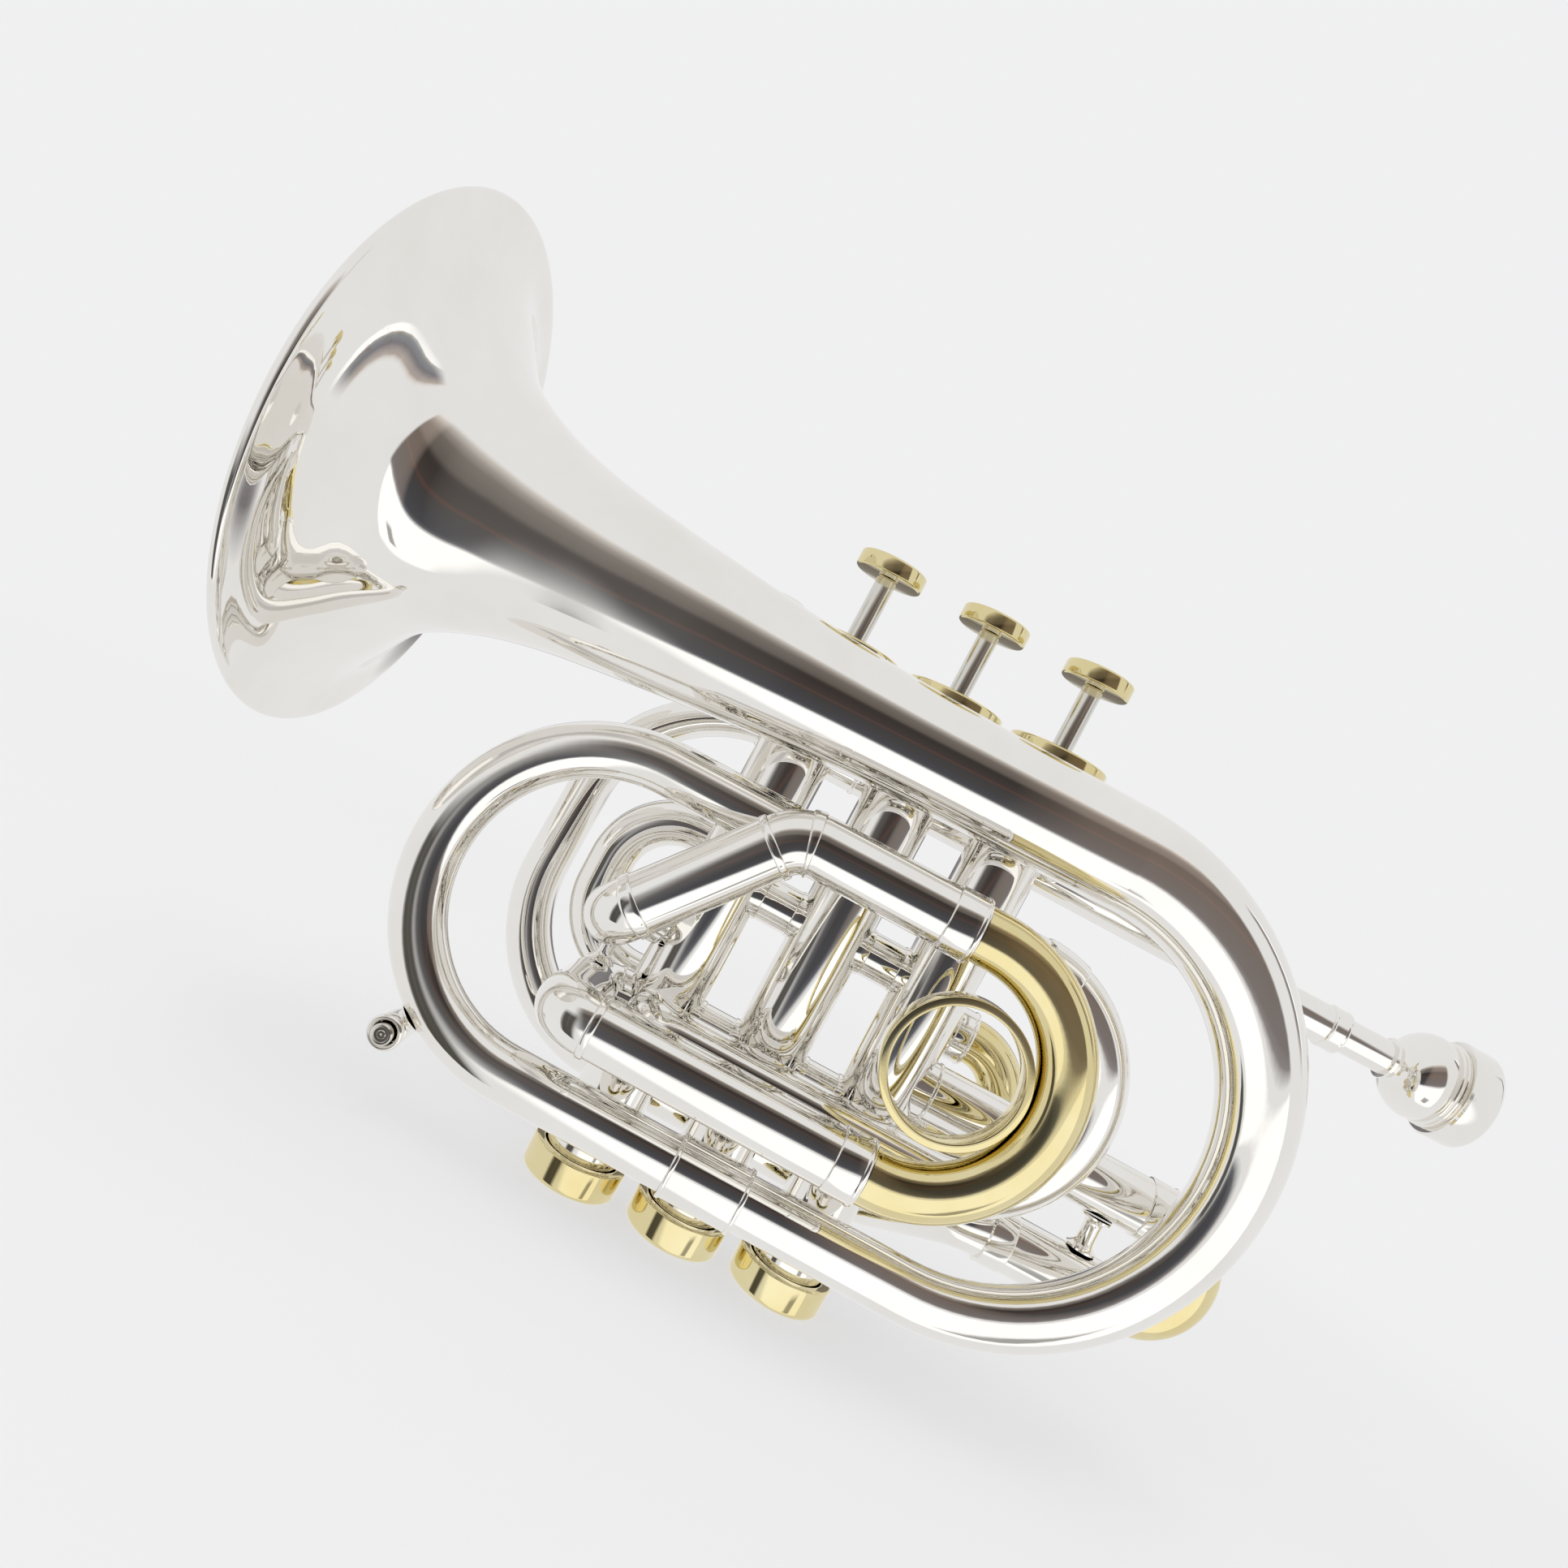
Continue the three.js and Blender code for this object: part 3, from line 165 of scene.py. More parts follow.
def blank_tree(holder: bpy.types.Material | bpy.types.World) -> bpy.types.NodeTree:
    """Gives a material or a world an empty node tree.

    Args:
        holder: The material or the world.

    Returns:
        The tree.
    """
    holder.use_nodes = True
    holder.node_tree.nodes.clear()
    return holder.node_tree


@dataclass(frozen=True)
class MetalFinish:
    """Polished metal with the haze and the fine marks that its polishing leaves.

    The haze is a slow change of colour and gloss, and the marks a shallow unevenness. Both are
    given by their real size in millimetres. Where a mesh has a "bore" value above zero, as deep
    inside the bell, the metal turns rough, less metallic and darker there. That darker colour is
    painted shade of the bell's throat.
    """

    name: str
    fresh: str
    toned: str
    roughness: float
    haze: float
    haze_size: float
    mark_size: float
    mark_depth: float
    lacquer: float = 0.0
    lacquer_roughness: float = 0.04
    # Colour deep in the bell's throat, darker than the metal: painted shade.
    throat_shade_colour: str = "#8E867A"
    bore_roughness: float = 0.45
    bore_metallic: float = 0.15

    def material(self) -> bpy.types.Material:
        """Builds the material.

        Returns:
            A node material that reads Object coordinates.
        """
        material = bpy.data.materials.new(self.name)
        tree = blank_tree(material)
        place = add_node(tree, "ShaderNodeTexCoord").outputs["Object"]
        haze = add_node(
            tree, "ShaderNodeTexNoise",
            {"Scale": 1 / (self.haze_size * MM), "Detail": 4.0, "Roughness": 0.6},
            {"Vector": place},
        ).outputs["Fac"]
        marks = add_node(
            tree, "ShaderNodeTexNoise",
            {"Scale": 1 / (self.mark_size * MM), "Detail": 3.0, "Roughness": 0.5},
            {"Vector": place},
        ).outputs["Fac"]
        colour = add_node(
            tree, "ShaderNodeValToRGB", {}, {"Fac": haze},
            [(HAZE_LOW, self.toned), (HAZE_HIGH, self.fresh)])
        gloss = add_node(
            tree, "ShaderNodeMapRange",
            {"From Min": HAZE_LOW, "From Max": HAZE_HIGH, "To Min": self.roughness + self.haze,
             "To Max": max(SMOOTHEST, self.roughness - self.haze)},
            {"Value": haze},
        )
        relief = add_node(
            tree, "ShaderNodeBump", {"Strength": 1.0, "Distance": self.mark_depth * MM},
            {"Height": marks},
        )
        bore = add_node(tree, "ShaderNodeAttribute", {"attribute_name": "bore"}).outputs["Fac"]
        # Towards the throat the colour turns to the darker throat colour: painted shade.
        shade = add_node(
            tree, "ShaderNodeMix", {"data_type": "RGBA", 7: linear(self.throat_shade_colour)},
            {0: bore, 6: colour.outputs["Color"]})
        dull = add_node(
            tree, "ShaderNodeMath", {"operation": "MULTIPLY_ADD", 1: self.bore_roughness},
            {0: bore, 2: gloss.outputs["Result"]})
        bare = add_node(
            tree, "ShaderNodeMapRange", {"To Min": 1.0, "To Max": self.bore_metallic},
            {"Value": bore})
        shader = add_node(
            tree, "ShaderNodeBsdfPrincipled",
            {"Coat Weight": self.lacquer, "Coat Roughness": self.lacquer_roughness},
            {"Base Color": shade.outputs[2], "Metallic": bare.outputs["Result"],
             "Roughness": dull.outputs[0], "Normal": relief.outputs["Normal"]},
        )
        add_node(tree, "ShaderNodeOutputMaterial", {}, {"Surface": shader.outputs["BSDF"]})
        return material


# Silver plate over brass, buffed: a near-white mirror, faintly warm where it was rubbed less.
SILVER_PLATE = MetalFinish("silver_plate", "#F2F0EC", "#EDEAE4", 0.02, 0.008, 22.0, 7.0, 0.0003)
# Brass under clear lacquer: a pale yellow mirror under a thin second gloss.
LACQUERED_BRASS = MetalFinish(
    "lacquered_brass", "#E6DBAE", "#E0D098", 0.045, 0.015, 18.0, 6.0, 0.0006, 0.2)
# Nickel silver, drawn and polished: greyer than silver, with slightly softer reflections.
NICKEL_SILVER = MetalFinish("nickel_silver", "#DEDCD6", "#D5D2CA", 0.1, 0.03, 14.0, 3.0, 0.0006)
# Drawn spring wire: grey steel with a dull sheen.
SPRING_STEEL = MetalFinish("spring_steel", "#B4B4B5", "#9C9B9A", 0.32, 0.06, 4.0, 0.8, 0.0020)

FINISHES = {
    Slot.SILVER: SILVER_PLATE,
    Slot.BRASS: LACQUERED_BRASS,
    Slot.NICKEL: NICKEL_SILVER,
    Slot.STEEL: SPRING_STEEL,
}


# Centrelines and rings


@dataclass(frozen=True)
class Station:
    """A place on a tube's centreline."""

    place: Vector
    heading: Vector
    distance: float


@dataclass(frozen=True)
class Route:
    """Centreline of a bent tube: straight runs whose corners are rounded."""

    corners: Sequence[Point]
    bends: Sequence[float] = ()

    def bare_stations(self) -> list[Station]:
        """Lays stations along the runs and round the bends.

        Returns:
            Stations in order, with a few degrees between those of a bend.
        """
        corners = [Vector(corner) for corner in self.corners]
        found: list[Station] = []

        def add(place: Vector, heading: Vector) -> None:
            """Adds a station unless the last one is there already.

            Args:
                place: Where it is.
                heading: Direction of the centreline there.
            """
            step = (place - found[-1].place).length if found else 0.0
            if found and step < MERGE_DISTANCE:
                return
            start = found[-1].distance if found else 0.0
            found.append(Station(place, heading, start + step))

        for i, corner in enumerate(corners):
            before = (corner - corners[i - 1]).normalized() if i else None
            after = (corners[i + 1] - corner).normalized() if i + 1 < len(corners) else None
            if before is None or after is None:
                add(corner, after if before is None else before)
                continue
            angle = before.angle(after)
            bend = self.bends[i - 1]
            axis = before.cross(after).normalized()
            start = corner - before * bend * math.tan(angle / 2)
            centre = start + axis.cross(before) * bend
            steps = max(2, math.ceil(angle / ARC_STEP))
            for k in range(steps + 1):
                turn = Quaternion(axis, angle * k / steps)
                add(centre + turn @ (start - centre), turn @ before)
        return found

    def length(self) -> float:
        """Length of the centreline."""
        return self.bare_stations()[-1].distance

    def stations(self, marks: Iterable[float]) -> list[Station]:
        """Lays stations with extra ones at given distances.

        Args:
            marks: Distances along the centreline that need a station.

        Returns:
            Stations in order.
        """
        bare = self.bare_stations()
        found = list(bare)
        for mark in marks:
            if not 0 < mark < bare[-1].distance:
                continue
            k = next(i for i, station in enumerate(bare) if station.distance >= mark)
            near, far = bare[k - 1], bare[k]
            share = (mark - near.distance) / (far.distance - near.distance)
            heading = near.heading.lerp(far.heading, share).normalized()
            found.append(Station(near.place.lerp(far.place, share), heading, mark))
        found.sort(key=lambda station: station.distance)
        kept = found[:1]
        for station in found[1:]:
            if station.distance - kept[-1].distance > STATION_STEP:
                kept.append(station)
        return kept


@dataclass(frozen=True)
class Band:
    """A raised sleeve or wire round a tube, placed along its centreline."""

    start: float
    end: float
    rise: float
    shape: BandShape = BandShape.SLEEVE

    def edge(self) -> float:
        """Width of the rounded edge on each side."""
        width = self.end - self.start
        return width / 2 if self.shape is BandShape.WIRE else min(self.rise, width / 3)

    def marks(self) -> list[float]:
        """Distances where the band's outline turns.

        Returns:
            Distances along the centreline, in no fixed order.
        """
        edge = self.edge()
        if self.shape is BandShape.WIRE:
            turns = [math.pi * k / WIRE_STEPS for k in range(WIRE_STEPS + 1)]
            return [self.start + edge * (1 - math.cos(turn)) for turn in turns]
        steps = [edge * share for share in EDGE_SHARES]
        outside = [self.start - BAND_CLEARANCE, self.end + BAND_CLEARANCE]
        return outside + [self.start + step for step in steps] + [self.end - step for step in steps]

    def height(self, distance: float) -> float:
        """Height of the band above the tube.

        Args:
            distance: Distance along the centreline.

        Returns:
            The height, or zero outside the band.
        """
        inside = min(distance - self.start, self.end - distance)
        if inside < -ROUNDING:
            return 0.0
        share = min(1.0, max(0.0, inside) / self.edge())
        return self.rise * math.sqrt(max(0.0, 1 - (1 - share) ** 2))


def wire(at: float, width: float = 1.0, rise: float = 0.42) -> Band:
    """Thin ring wire soldered round a tube."""
    return Band(at - width / 2, at + width / 2, rise, BandShape.WIRE)


def collar(at: float, width: float = 1.9, rise: float = 0.45) -> Band:
    """Narrow raised sleeve where two tubes are joined."""
    return Band(at - width / 2, at + width / 2, rise)


def end_sleeve(width: float, rise: float) -> Band:
    """Sleeve at a tube's start, drawn past it so that the end has its full height."""
    return Band(-OVERHANG, width, rise)


def far_sleeve(length: float, width: float, rise: float) -> Band:
    """Sleeve at the far end of a tube of a given length, drawn past it in the same way."""
    return Band(length - width, length + OVERHANG, rise)


def hairpin(start: Point, turn: float, end: Point) -> Route:
    """Runs along the trumpet, round half a circle and back.

    Args:
        start: Where the route starts.
        turn: Place along the trumpet where the half circle starts.
        end: Where the route ends.

    Returns:
        The route.
    """
    bend = math.hypot(end[1] - start[1], end[2] - start[2]) / 2
    corner = turn + math.copysign(bend, turn - end[0])
    return Route([start, (corner, *start[1:]), (corner, *end[1:]), end], [bend, bend])


def eased(share: float, places: Sequence[float], values: Sequence[float]) -> float:
    """Reads a smooth curve through given values, without overshoot.

    Args:
        share: Where to read it.
        places: Rising places of the values.
        values: Values at those places.

    Returns:
        The value there.
    """
    count = len(places)
    slopes = [(values[i + 1] - values[i]) / (places[i + 1] - places[i]) for i in range(count - 1)]
    tangents = [slopes[0] if values[0] != values[1] else 0.0]
    for left, right in zip(slopes, slopes[1:]):
        tangents.append(0.0 if left * right <= 0 else 2 * left * right / (left + right))
    tangents.append(0.0)
    above = next((i for i, place in enumerate(places) if place >= share), count - 1)
    k = min(count - 2, max(0, above - 1))
    width = places[k + 1] - places[k]
    t = (share - places[k]) / width
    return (
        (1 + 2 * t) * (1 - t) ** 2 * values[k] + t * (1 - t) ** 2 * width * tangents[k]
        + t * t * (3 - 2 * t) * values[k + 1] + t * t * (t - 1) * width * tangents[k + 1]
    )


def curve_through(points: Profile, steps: int) -> list[tuple[float, float]]:
    """Smooth line through the points of a profile.

    Args:
        points: Profile points in order.
        steps: Stretches between each two points.

    Returns:
        Points of the smooth line.
    """
    knots = [Vector(point) for point in points]
    ends = [2 * knots[0] - knots[1], *knots, 2 * knots[-1] - knots[-2]]
    found = [knots[0]]
    for i in range(1, len(ends) - 2):
        a, b, c, d = ends[i - 1:i + 3]
        spans = [max(ROUNDING, (q - p).length) ** 0.5 for p, q in ((a, b), (b, c), (c, d))]
        left = (b - a) / spans[0] - (c - a) / (spans[0] + spans[1]) + (c - b) / spans[1]
        right = (c - b) / spans[1] - (d - b) / (spans[1] + spans[2]) + (d - c) / spans[2]
        left, right = left * spans[1], right * spans[1]
        for k in range(1, steps + 1):
            t = k / steps
            found.append(
                (2 * t ** 3 - 3 * t ** 2 + 1) * b + (t ** 3 - 2 * t ** 2 + t) * left
                + (3 * t ** 2 - 2 * t ** 3) * c + (t ** 3 - t ** 2) * right
            )
    return [(point.x, point.y) for point in found]


# Meshes


def turned_to(right: Vector, up: Vector) -> Matrix:
    """Turn that lays X and Y along two directions at right angles."""
    return Matrix((right, up, right.cross(up))).transposed().to_4x4()


def along_x(x: float, y: float, z: float) -> Matrix:
    """Place of a turned shape whose axis points to +X."""
    return Matrix.Translation((x, y, z)) @ Matrix.Rotation(math.pi / 2, 4, "Y")


def add_object(
    shape: bmesh.types.BMesh, name: str, material: bpy.types.Material,
) -> bpy.types.Object:
    """Makes a shape an object of the scene.

    Args:
        shape: Shape in metres, which is used up.
        name: Name of the object and its mesh.
        material: Its material.

    Returns:
        The object.
    """
    mesh = bpy.data.meshes.new(name)
    shape.to_mesh(mesh)
    shape.free()
    mesh.materials.append(material)
    made = bpy.data.objects.new(name, mesh)
    bpy.context.scene.collection.objects.link(made)
    return made


@dataclass(frozen=True)
class Saddle:
    """Valve casing that a tube's end is fitted to."""

    valve: int
    radius: float = CASING_RADIUS - SADDLE_BITE

    def fit(self, vertices: Iterable[bmesh.types.BMVert], heading: Vector) -> None:
        """Slides an end ring along its tube until it lies on the casing.

        Args:
            vertices: Vertices of the end ring.
            heading: Way of the tube there.
        """
        way = Vector((heading.x, heading.y))
        for vertex in vertices:
            across = Vector((vertex.co.x - VALVE_X[self.valve], vertex.co.y))
            ahead = across.dot(way)
            room = ahead ** 2 - across.length_squared + self.radius ** 2
            if room > 0:
                root = math.sqrt(room)
                step = min((-ahead - root, -ahead + root), key=abs)
                vertex.co += heading * step


@dataclass
class Bench:
    """Bench where shapes are swept or turned, then finished as pieces of the trumpet."""

    nodes: dict[str, bpy.types.Object]
    materials: dict[Slot, bpy.types.Material] = field(default_factory=dict)
    made: list[bpy.types.Object] = field(default_factory=list)

    def material(self, slot: Slot) -> bpy.types.Material:
        """Material of a slot, built when first asked for.

        Args:
            slot: The slot.

        Returns:
            The material.
        """
        if slot not in self.materials:
            self.materials[slot] = FINISHES[slot].material()
        return self.materials[slot]

    def tube(
        self,
        route: Route,
        radius: float | Callable[[float], float],
        wall: float | None = None,
        bands: Sequence[Band] = (),
        start: Saddle | None = None,
        end: Saddle | None = None,
        sides: int = TUBE_SIDES,
    ) -> bmesh.types.BMesh:
        """Draws a tube or rod along a route.

        Args:
            route: Centreline.
            radius: Outside radius, or its value by the share of the way.
            wall: Wall thickness, or None for a solid rod.
            bands: Rings and sleeves that stand out from it.
            start: Casing that the first end is fitted to.
            end: Casing that the last end is fitted to.
            sides: Sides of the cross-section.

        Returns:
            The closed shape in millimetres.
        """
        stations = route.stations(mark for band in bands for mark in band.marks())
        total = stations[-1].distance

        def plain(distance: float) -> float:
            """Radius of the tube without its bands."""
            return radius(distance / total) if callable(radius) else radius

        heading = stations[0].heading
        upright = Vector((0, 0, 1)) if abs(heading.z) < STEEP else Vector((1, 0, 0))
        side = (upright - heading * upright.dot(heading)).normalized()
        frames: list[Matrix] = []
        for k, station in enumerate(stations):
            if k:
                side = stations[k - 1].heading.rotation_difference(station.heading) @ side
            across = station.heading.cross(side)
            turn = Matrix((side, across, station.heading)).transposed().to_4x4()
            frames.append(Matrix.Translation(station.place) @ turn)

        def ring(k: int, size: float) -> Matrix:
            """Matrix that lays a unit circle round a station."""
            return frames[k] @ Matrix.Diagonal((size, size, 1, 1))

        outside = [
            ring(k, plain(s.distance) + max([0.0] + [band.height(s.distance) for band in bands]))
            for k, s in enumerate(stations)
        ]
        inside = [ring(k, plain(s.distance) - wall) for k, s in enumerate(stations)] if wall else []
        path = outside + inside[::-1]
        shape = bmesh.new()
        made = bmesh.ops.create_circle(shape, cap_ends=False, segments=sides, radius=1)
        bmesh.ops.transform(shape, matrix=path[0], verts=made["verts"])
        first = list(shape.edges)
        rings = [list(made["verts"])]
        edges = first
        for before, after in zip(path, path[1:]):
            drawn = bmesh.ops.extrude_edge_only(shape, edges=edges)["geom"]
            verts = [item for item in drawn if isinstance(item, bmesh.types.BMVert)]
            lines = [item for item in drawn if isinstance(item, bmesh.types.BMEdge)]
            edges = [line for line in lines if line.is_boundary]
            bmesh.ops.transform(shape, matrix=after @ before.inverted(), verts=verts)
            rings.append(verts)
        if wall:
            bmesh.ops.bridge_loops(shape, edges=first + edges)
            count = len(stations)
            ends = [rings[0] + rings[-1], rings[count - 1] + rings[count]]
        else:
            bmesh.ops.holes_fill(shape, edges=first + edges, sides=0)
            ends = [rings[0], rings[-1]]
        for saddle, verts, station in ((start, ends[0], stations[0]), (end, ends[1], stations[-1])):
            if saddle:
                saddle.fit(verts, station.heading)
        return shape

    def turned(
        self, profile: Profile, soften: float = 0.0, sides: int = TURNED_SIDES,
    ) -> bmesh.types.BMesh:
        """Turns a profile about the Z axis.

        Args:
            profile: Points as radius and height. One that starts on the axis also ends there,
                and any other returns to its first point.
            soften: Width of the bevel along its sharp edges.
            sides: Steps of the turn.

        Returns:
            The closed shape in millimetres.
        """
        shape = bmesh.new()
        points = [shape.verts.new((radius, 0, height)) for radius, height in profile]
        pairs = list(zip(points, points[1:]))
        if profile[0][0] > 0:
            pairs.append((points[-1], points[0]))
        edges = [shape.edges.new(pair) for pair in pairs]
        bmesh.ops.spin(
            shape, geom=points + edges, cent=(0, 0, 0), axis=(0, 0, 1), dvec=(0, 0, 0),
            angle=2 * math.pi, steps=sides, use_merge=True,
        )
        bmesh.ops.remove_doubles(shape, verts=shape.verts, dist=MERGE_DISTANCE)
        bmesh.ops.recalc_face_normals(shape, faces=shape.faces)
        if soften:
            sharp = [
                edge for edge in shape.edges
                if len(edge.link_faces) == 2 and edge.calc_face_angle(0) > SOFTENED_ANGLE
                and abs(edge.verts[0].co.z - edge.verts[1].co.z) < MERGE_DISTANCE
            ]
            bmesh.ops.bevel(
                shape, geom=sharp, offset=soften, offset_type="OFFSET", segments=BEVEL_SEGMENTS,
                profile=BEVEL_ROUNDNESS, affect="EDGES", material=-1, clamp_overlap=True,
            )
        return shape

    def finish(
        self,
        shape: bmesh.types.BMesh,
        name: str,
        slot: Slot,
        body: str = "root",
        place: Matrix | None = None,
    ) -> bpy.types.Object:
        """Makes a shape into a piece that stands for a node of the model.

        Args:
            shape: Closed shape in millimetres.
            name: Name of the node, from which the piece's name is made.
            slot: Material slot.
            body: Body that it rides on.
            place: Place of the shape, where it was made elsewhere.

        Returns:
            The piece.
        """
        if place:
            bmesh.ops.transform(shape, matrix=place, verts=shape.verts)
        bmesh.ops.remove_doubles(shape, verts=shape.verts, dist=MERGE_DISTANCE)
        bmesh.ops.recalc_face_normals(shape, faces=shape.faces)
        for face in shape.faces:
            face.smooth = True
        for edge in shape.edges:
            edge.smooth = edge.calc_face_angle(0) < SHARP_ANGLE
        bmesh.ops.scale(shape, vec=(MM, MM, MM), verts=shape.verts)
        piece = add_object(shape, f"{name}_look", self.material(slot))
        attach(piece, body)
        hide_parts(name)
        self.made.append(piece)
        return piece

    def dress(self, name: str, slot: Slot) -> None:
        """Gives a node of the model its material.

        Args:
            name: The node.
            slot: Material slot.
        """
        mesh = self.nodes[name].data
        mesh.materials.clear()
        mesh.materials.append(self.material(slot))
        log.info("%s keeps its solid", name)


# Sub-assemblies


@dataclass
class ValveBlock:
    """Three casings with their caps, pistons, stems, buttons and knuckles."""

    casing_wall: float = 0.9
    casing_bottom: float = 1.9
    casing_top: float = 143.6
    bottom_cap_radius: float = 12.1
    bottom_cap_height: float = 7.7
    bottom_cap_floor: float = 1.6
    bottom_cap_chamfer: float = 0.9
    top_cap_radius: float = 12.6
    top_cap_roof: float = 2.2
    top_cap_skirt: float = 6.2
    top: float = 146.1
    stem_radius: float = 2.55
    stem_hole: float = 3.3
    stem_bottom: float = 99.3
    button_radius: float = 8.7
    button_bottom: float = 163.7
    button_thickness: float = 4.1
    button_rim: float = 1.6
    button_dish: float = 0.7
    dish_shares: Sequence[float] = (1, 0.75, 0.5, 0.25, 0)
    knuckle_radius: float = 5.6
    knuckle_wall: float = 0.6
    knuckle_ring: float = 0.9
    knuckle_ring_rise: float = 0.3
    knuckle_heights: dict[str, float] = field(default_factory=lambda: {"lower": 47.5, "upper": 82})

    def casing(self) -> Profile:
        """Profile of a casing.

        Returns:
            Points round the section of its wall.
        """
        bore = CASING_RADIUS - self.casing_wall
        return [
            (bore, self.casing_bottom), (CASING_RADIUS, self.casing_bottom),
            (CASING_RADIUS, self.casing_top), (bore, self.casing_top),
        ]

    def bottom_cap(self) -> Profile:
        """Profile of a bottom cap with its flat floor.

        Returns:
            Points from the axis round the cap and back to the axis.
        """
        bore = CASING_RADIUS + SEAT_GAP
        chamfer = self.bottom_cap_chamfer
        return [
            (0, 0), (self.bottom_cap_radius - chamfer, 0), (self.bottom_cap_radius, chamfer),
            (self.bottom_cap_radius, self.bottom_cap_height), (bore, self.bottom_cap_height),
            (bore, self.bottom_cap_floor), (0, self.bottom_cap_floor),
        ]

    def top_cap(self) -> Profile:
        """Profile of a top cap with the hole for the stem.

        Returns:
            Points round the cap's section.
        """
        bore = CASING_RADIUS + SEAT_GAP
        roof = self.top - self.top_cap_roof
        skirt = roof - self.top_cap_skirt
        return [
            (self.stem_hole, self.top), (self.top_cap_radius, self.top),
            (self.top_cap_radius, skirt), (bore, skirt), (bore, roof), (self.stem_hole, roof),
        ]

    def stem(self) -> Profile:
        """Profile of a stem.

        Returns:
            Points from the axis round the stem and back to the axis.
        """
        top = self.button_bottom - SEAT_GAP
        return [
            (0, self.stem_bottom), (self.stem_radius, self.stem_bottom), (self.stem_radius, top),
            (0, top),
        ]

    def button(self) -> Profile:
        """Profile of a finger button, dished on top.

        Returns:
            Points from the axis round the button and back to the axis.
        """
        top = self.button_bottom + self.button_thickness
        edge = self.button_radius - self.button_rim
        shares = self.dish_shares
        return [
            (0, self.button_bottom), (self.button_radius, self.button_bottom),
            (self.button_radius, top),
            *((edge * share, top - self.button_dish * (1 - share ** 2)) for share in shares),
        ]

    def build(self, bench: Bench) -> None:
        """Makes the valves' pieces.

        Args:
            bench: Bench that finishes them.
        """
        for number, x in VALVE_X.items():
            place = Matrix.Translation((x, 0, 0))
            pressed = f"valve_{number}"
            for name, profile, soften, sides, slot, body in (
                ("valve_casing", self.casing(), 0.15, TURNED_SIDES, Slot.SILVER, "root"),
                ("bottom_cap", self.bottom_cap(), 0.55, TURNED_SIDES, Slot.BRASS, "root"),
                ("top_cap", self.top_cap(), 0.6, TURNED_SIDES, Slot.BRASS, "root"),
                ("valve_stem", self.stem(), 0.2, TUBE_SIDES, Slot.NICKEL, pressed),
                ("finger_button", self.button(), 0.6, TURNED_SIDES, Slot.BRASS, pressed),
            ):
                shape = bench.turned(profile, soften, sides)
                bench.finish(shape, f"{name}_{number}", slot, body, place=place)
            bench.dress(f"piston_{number}", Slot.NICKEL)
            bench.dress(f"valve_spring_{number}", Slot.STEEL)
        for front, rear in ((3, 2), (2, 1)):
            for level, height in self.knuckle_heights.items():
                run = Route([
                    (VALVE_X[front] + CASING_RADIUS, 0, height),
                    (VALVE_X[rear] - CASING_RADIUS, 0, height),
                ])
                rings = [
                    end_sleeve(self.knuckle_ring, self.knuckle_ring_rise),
                    far_sleeve(run.length(), self.knuckle_ring, self.knuckle_ring_rise),
                ]
                shape = bench.tube(
                    run, self.knuckle_radius, self.knuckle_wall, rings, Saddle(front), Saddle(rear))
                bench.finish(shape, f"knuckle_{level}_{front}_{rear}", Slot.SILVER)


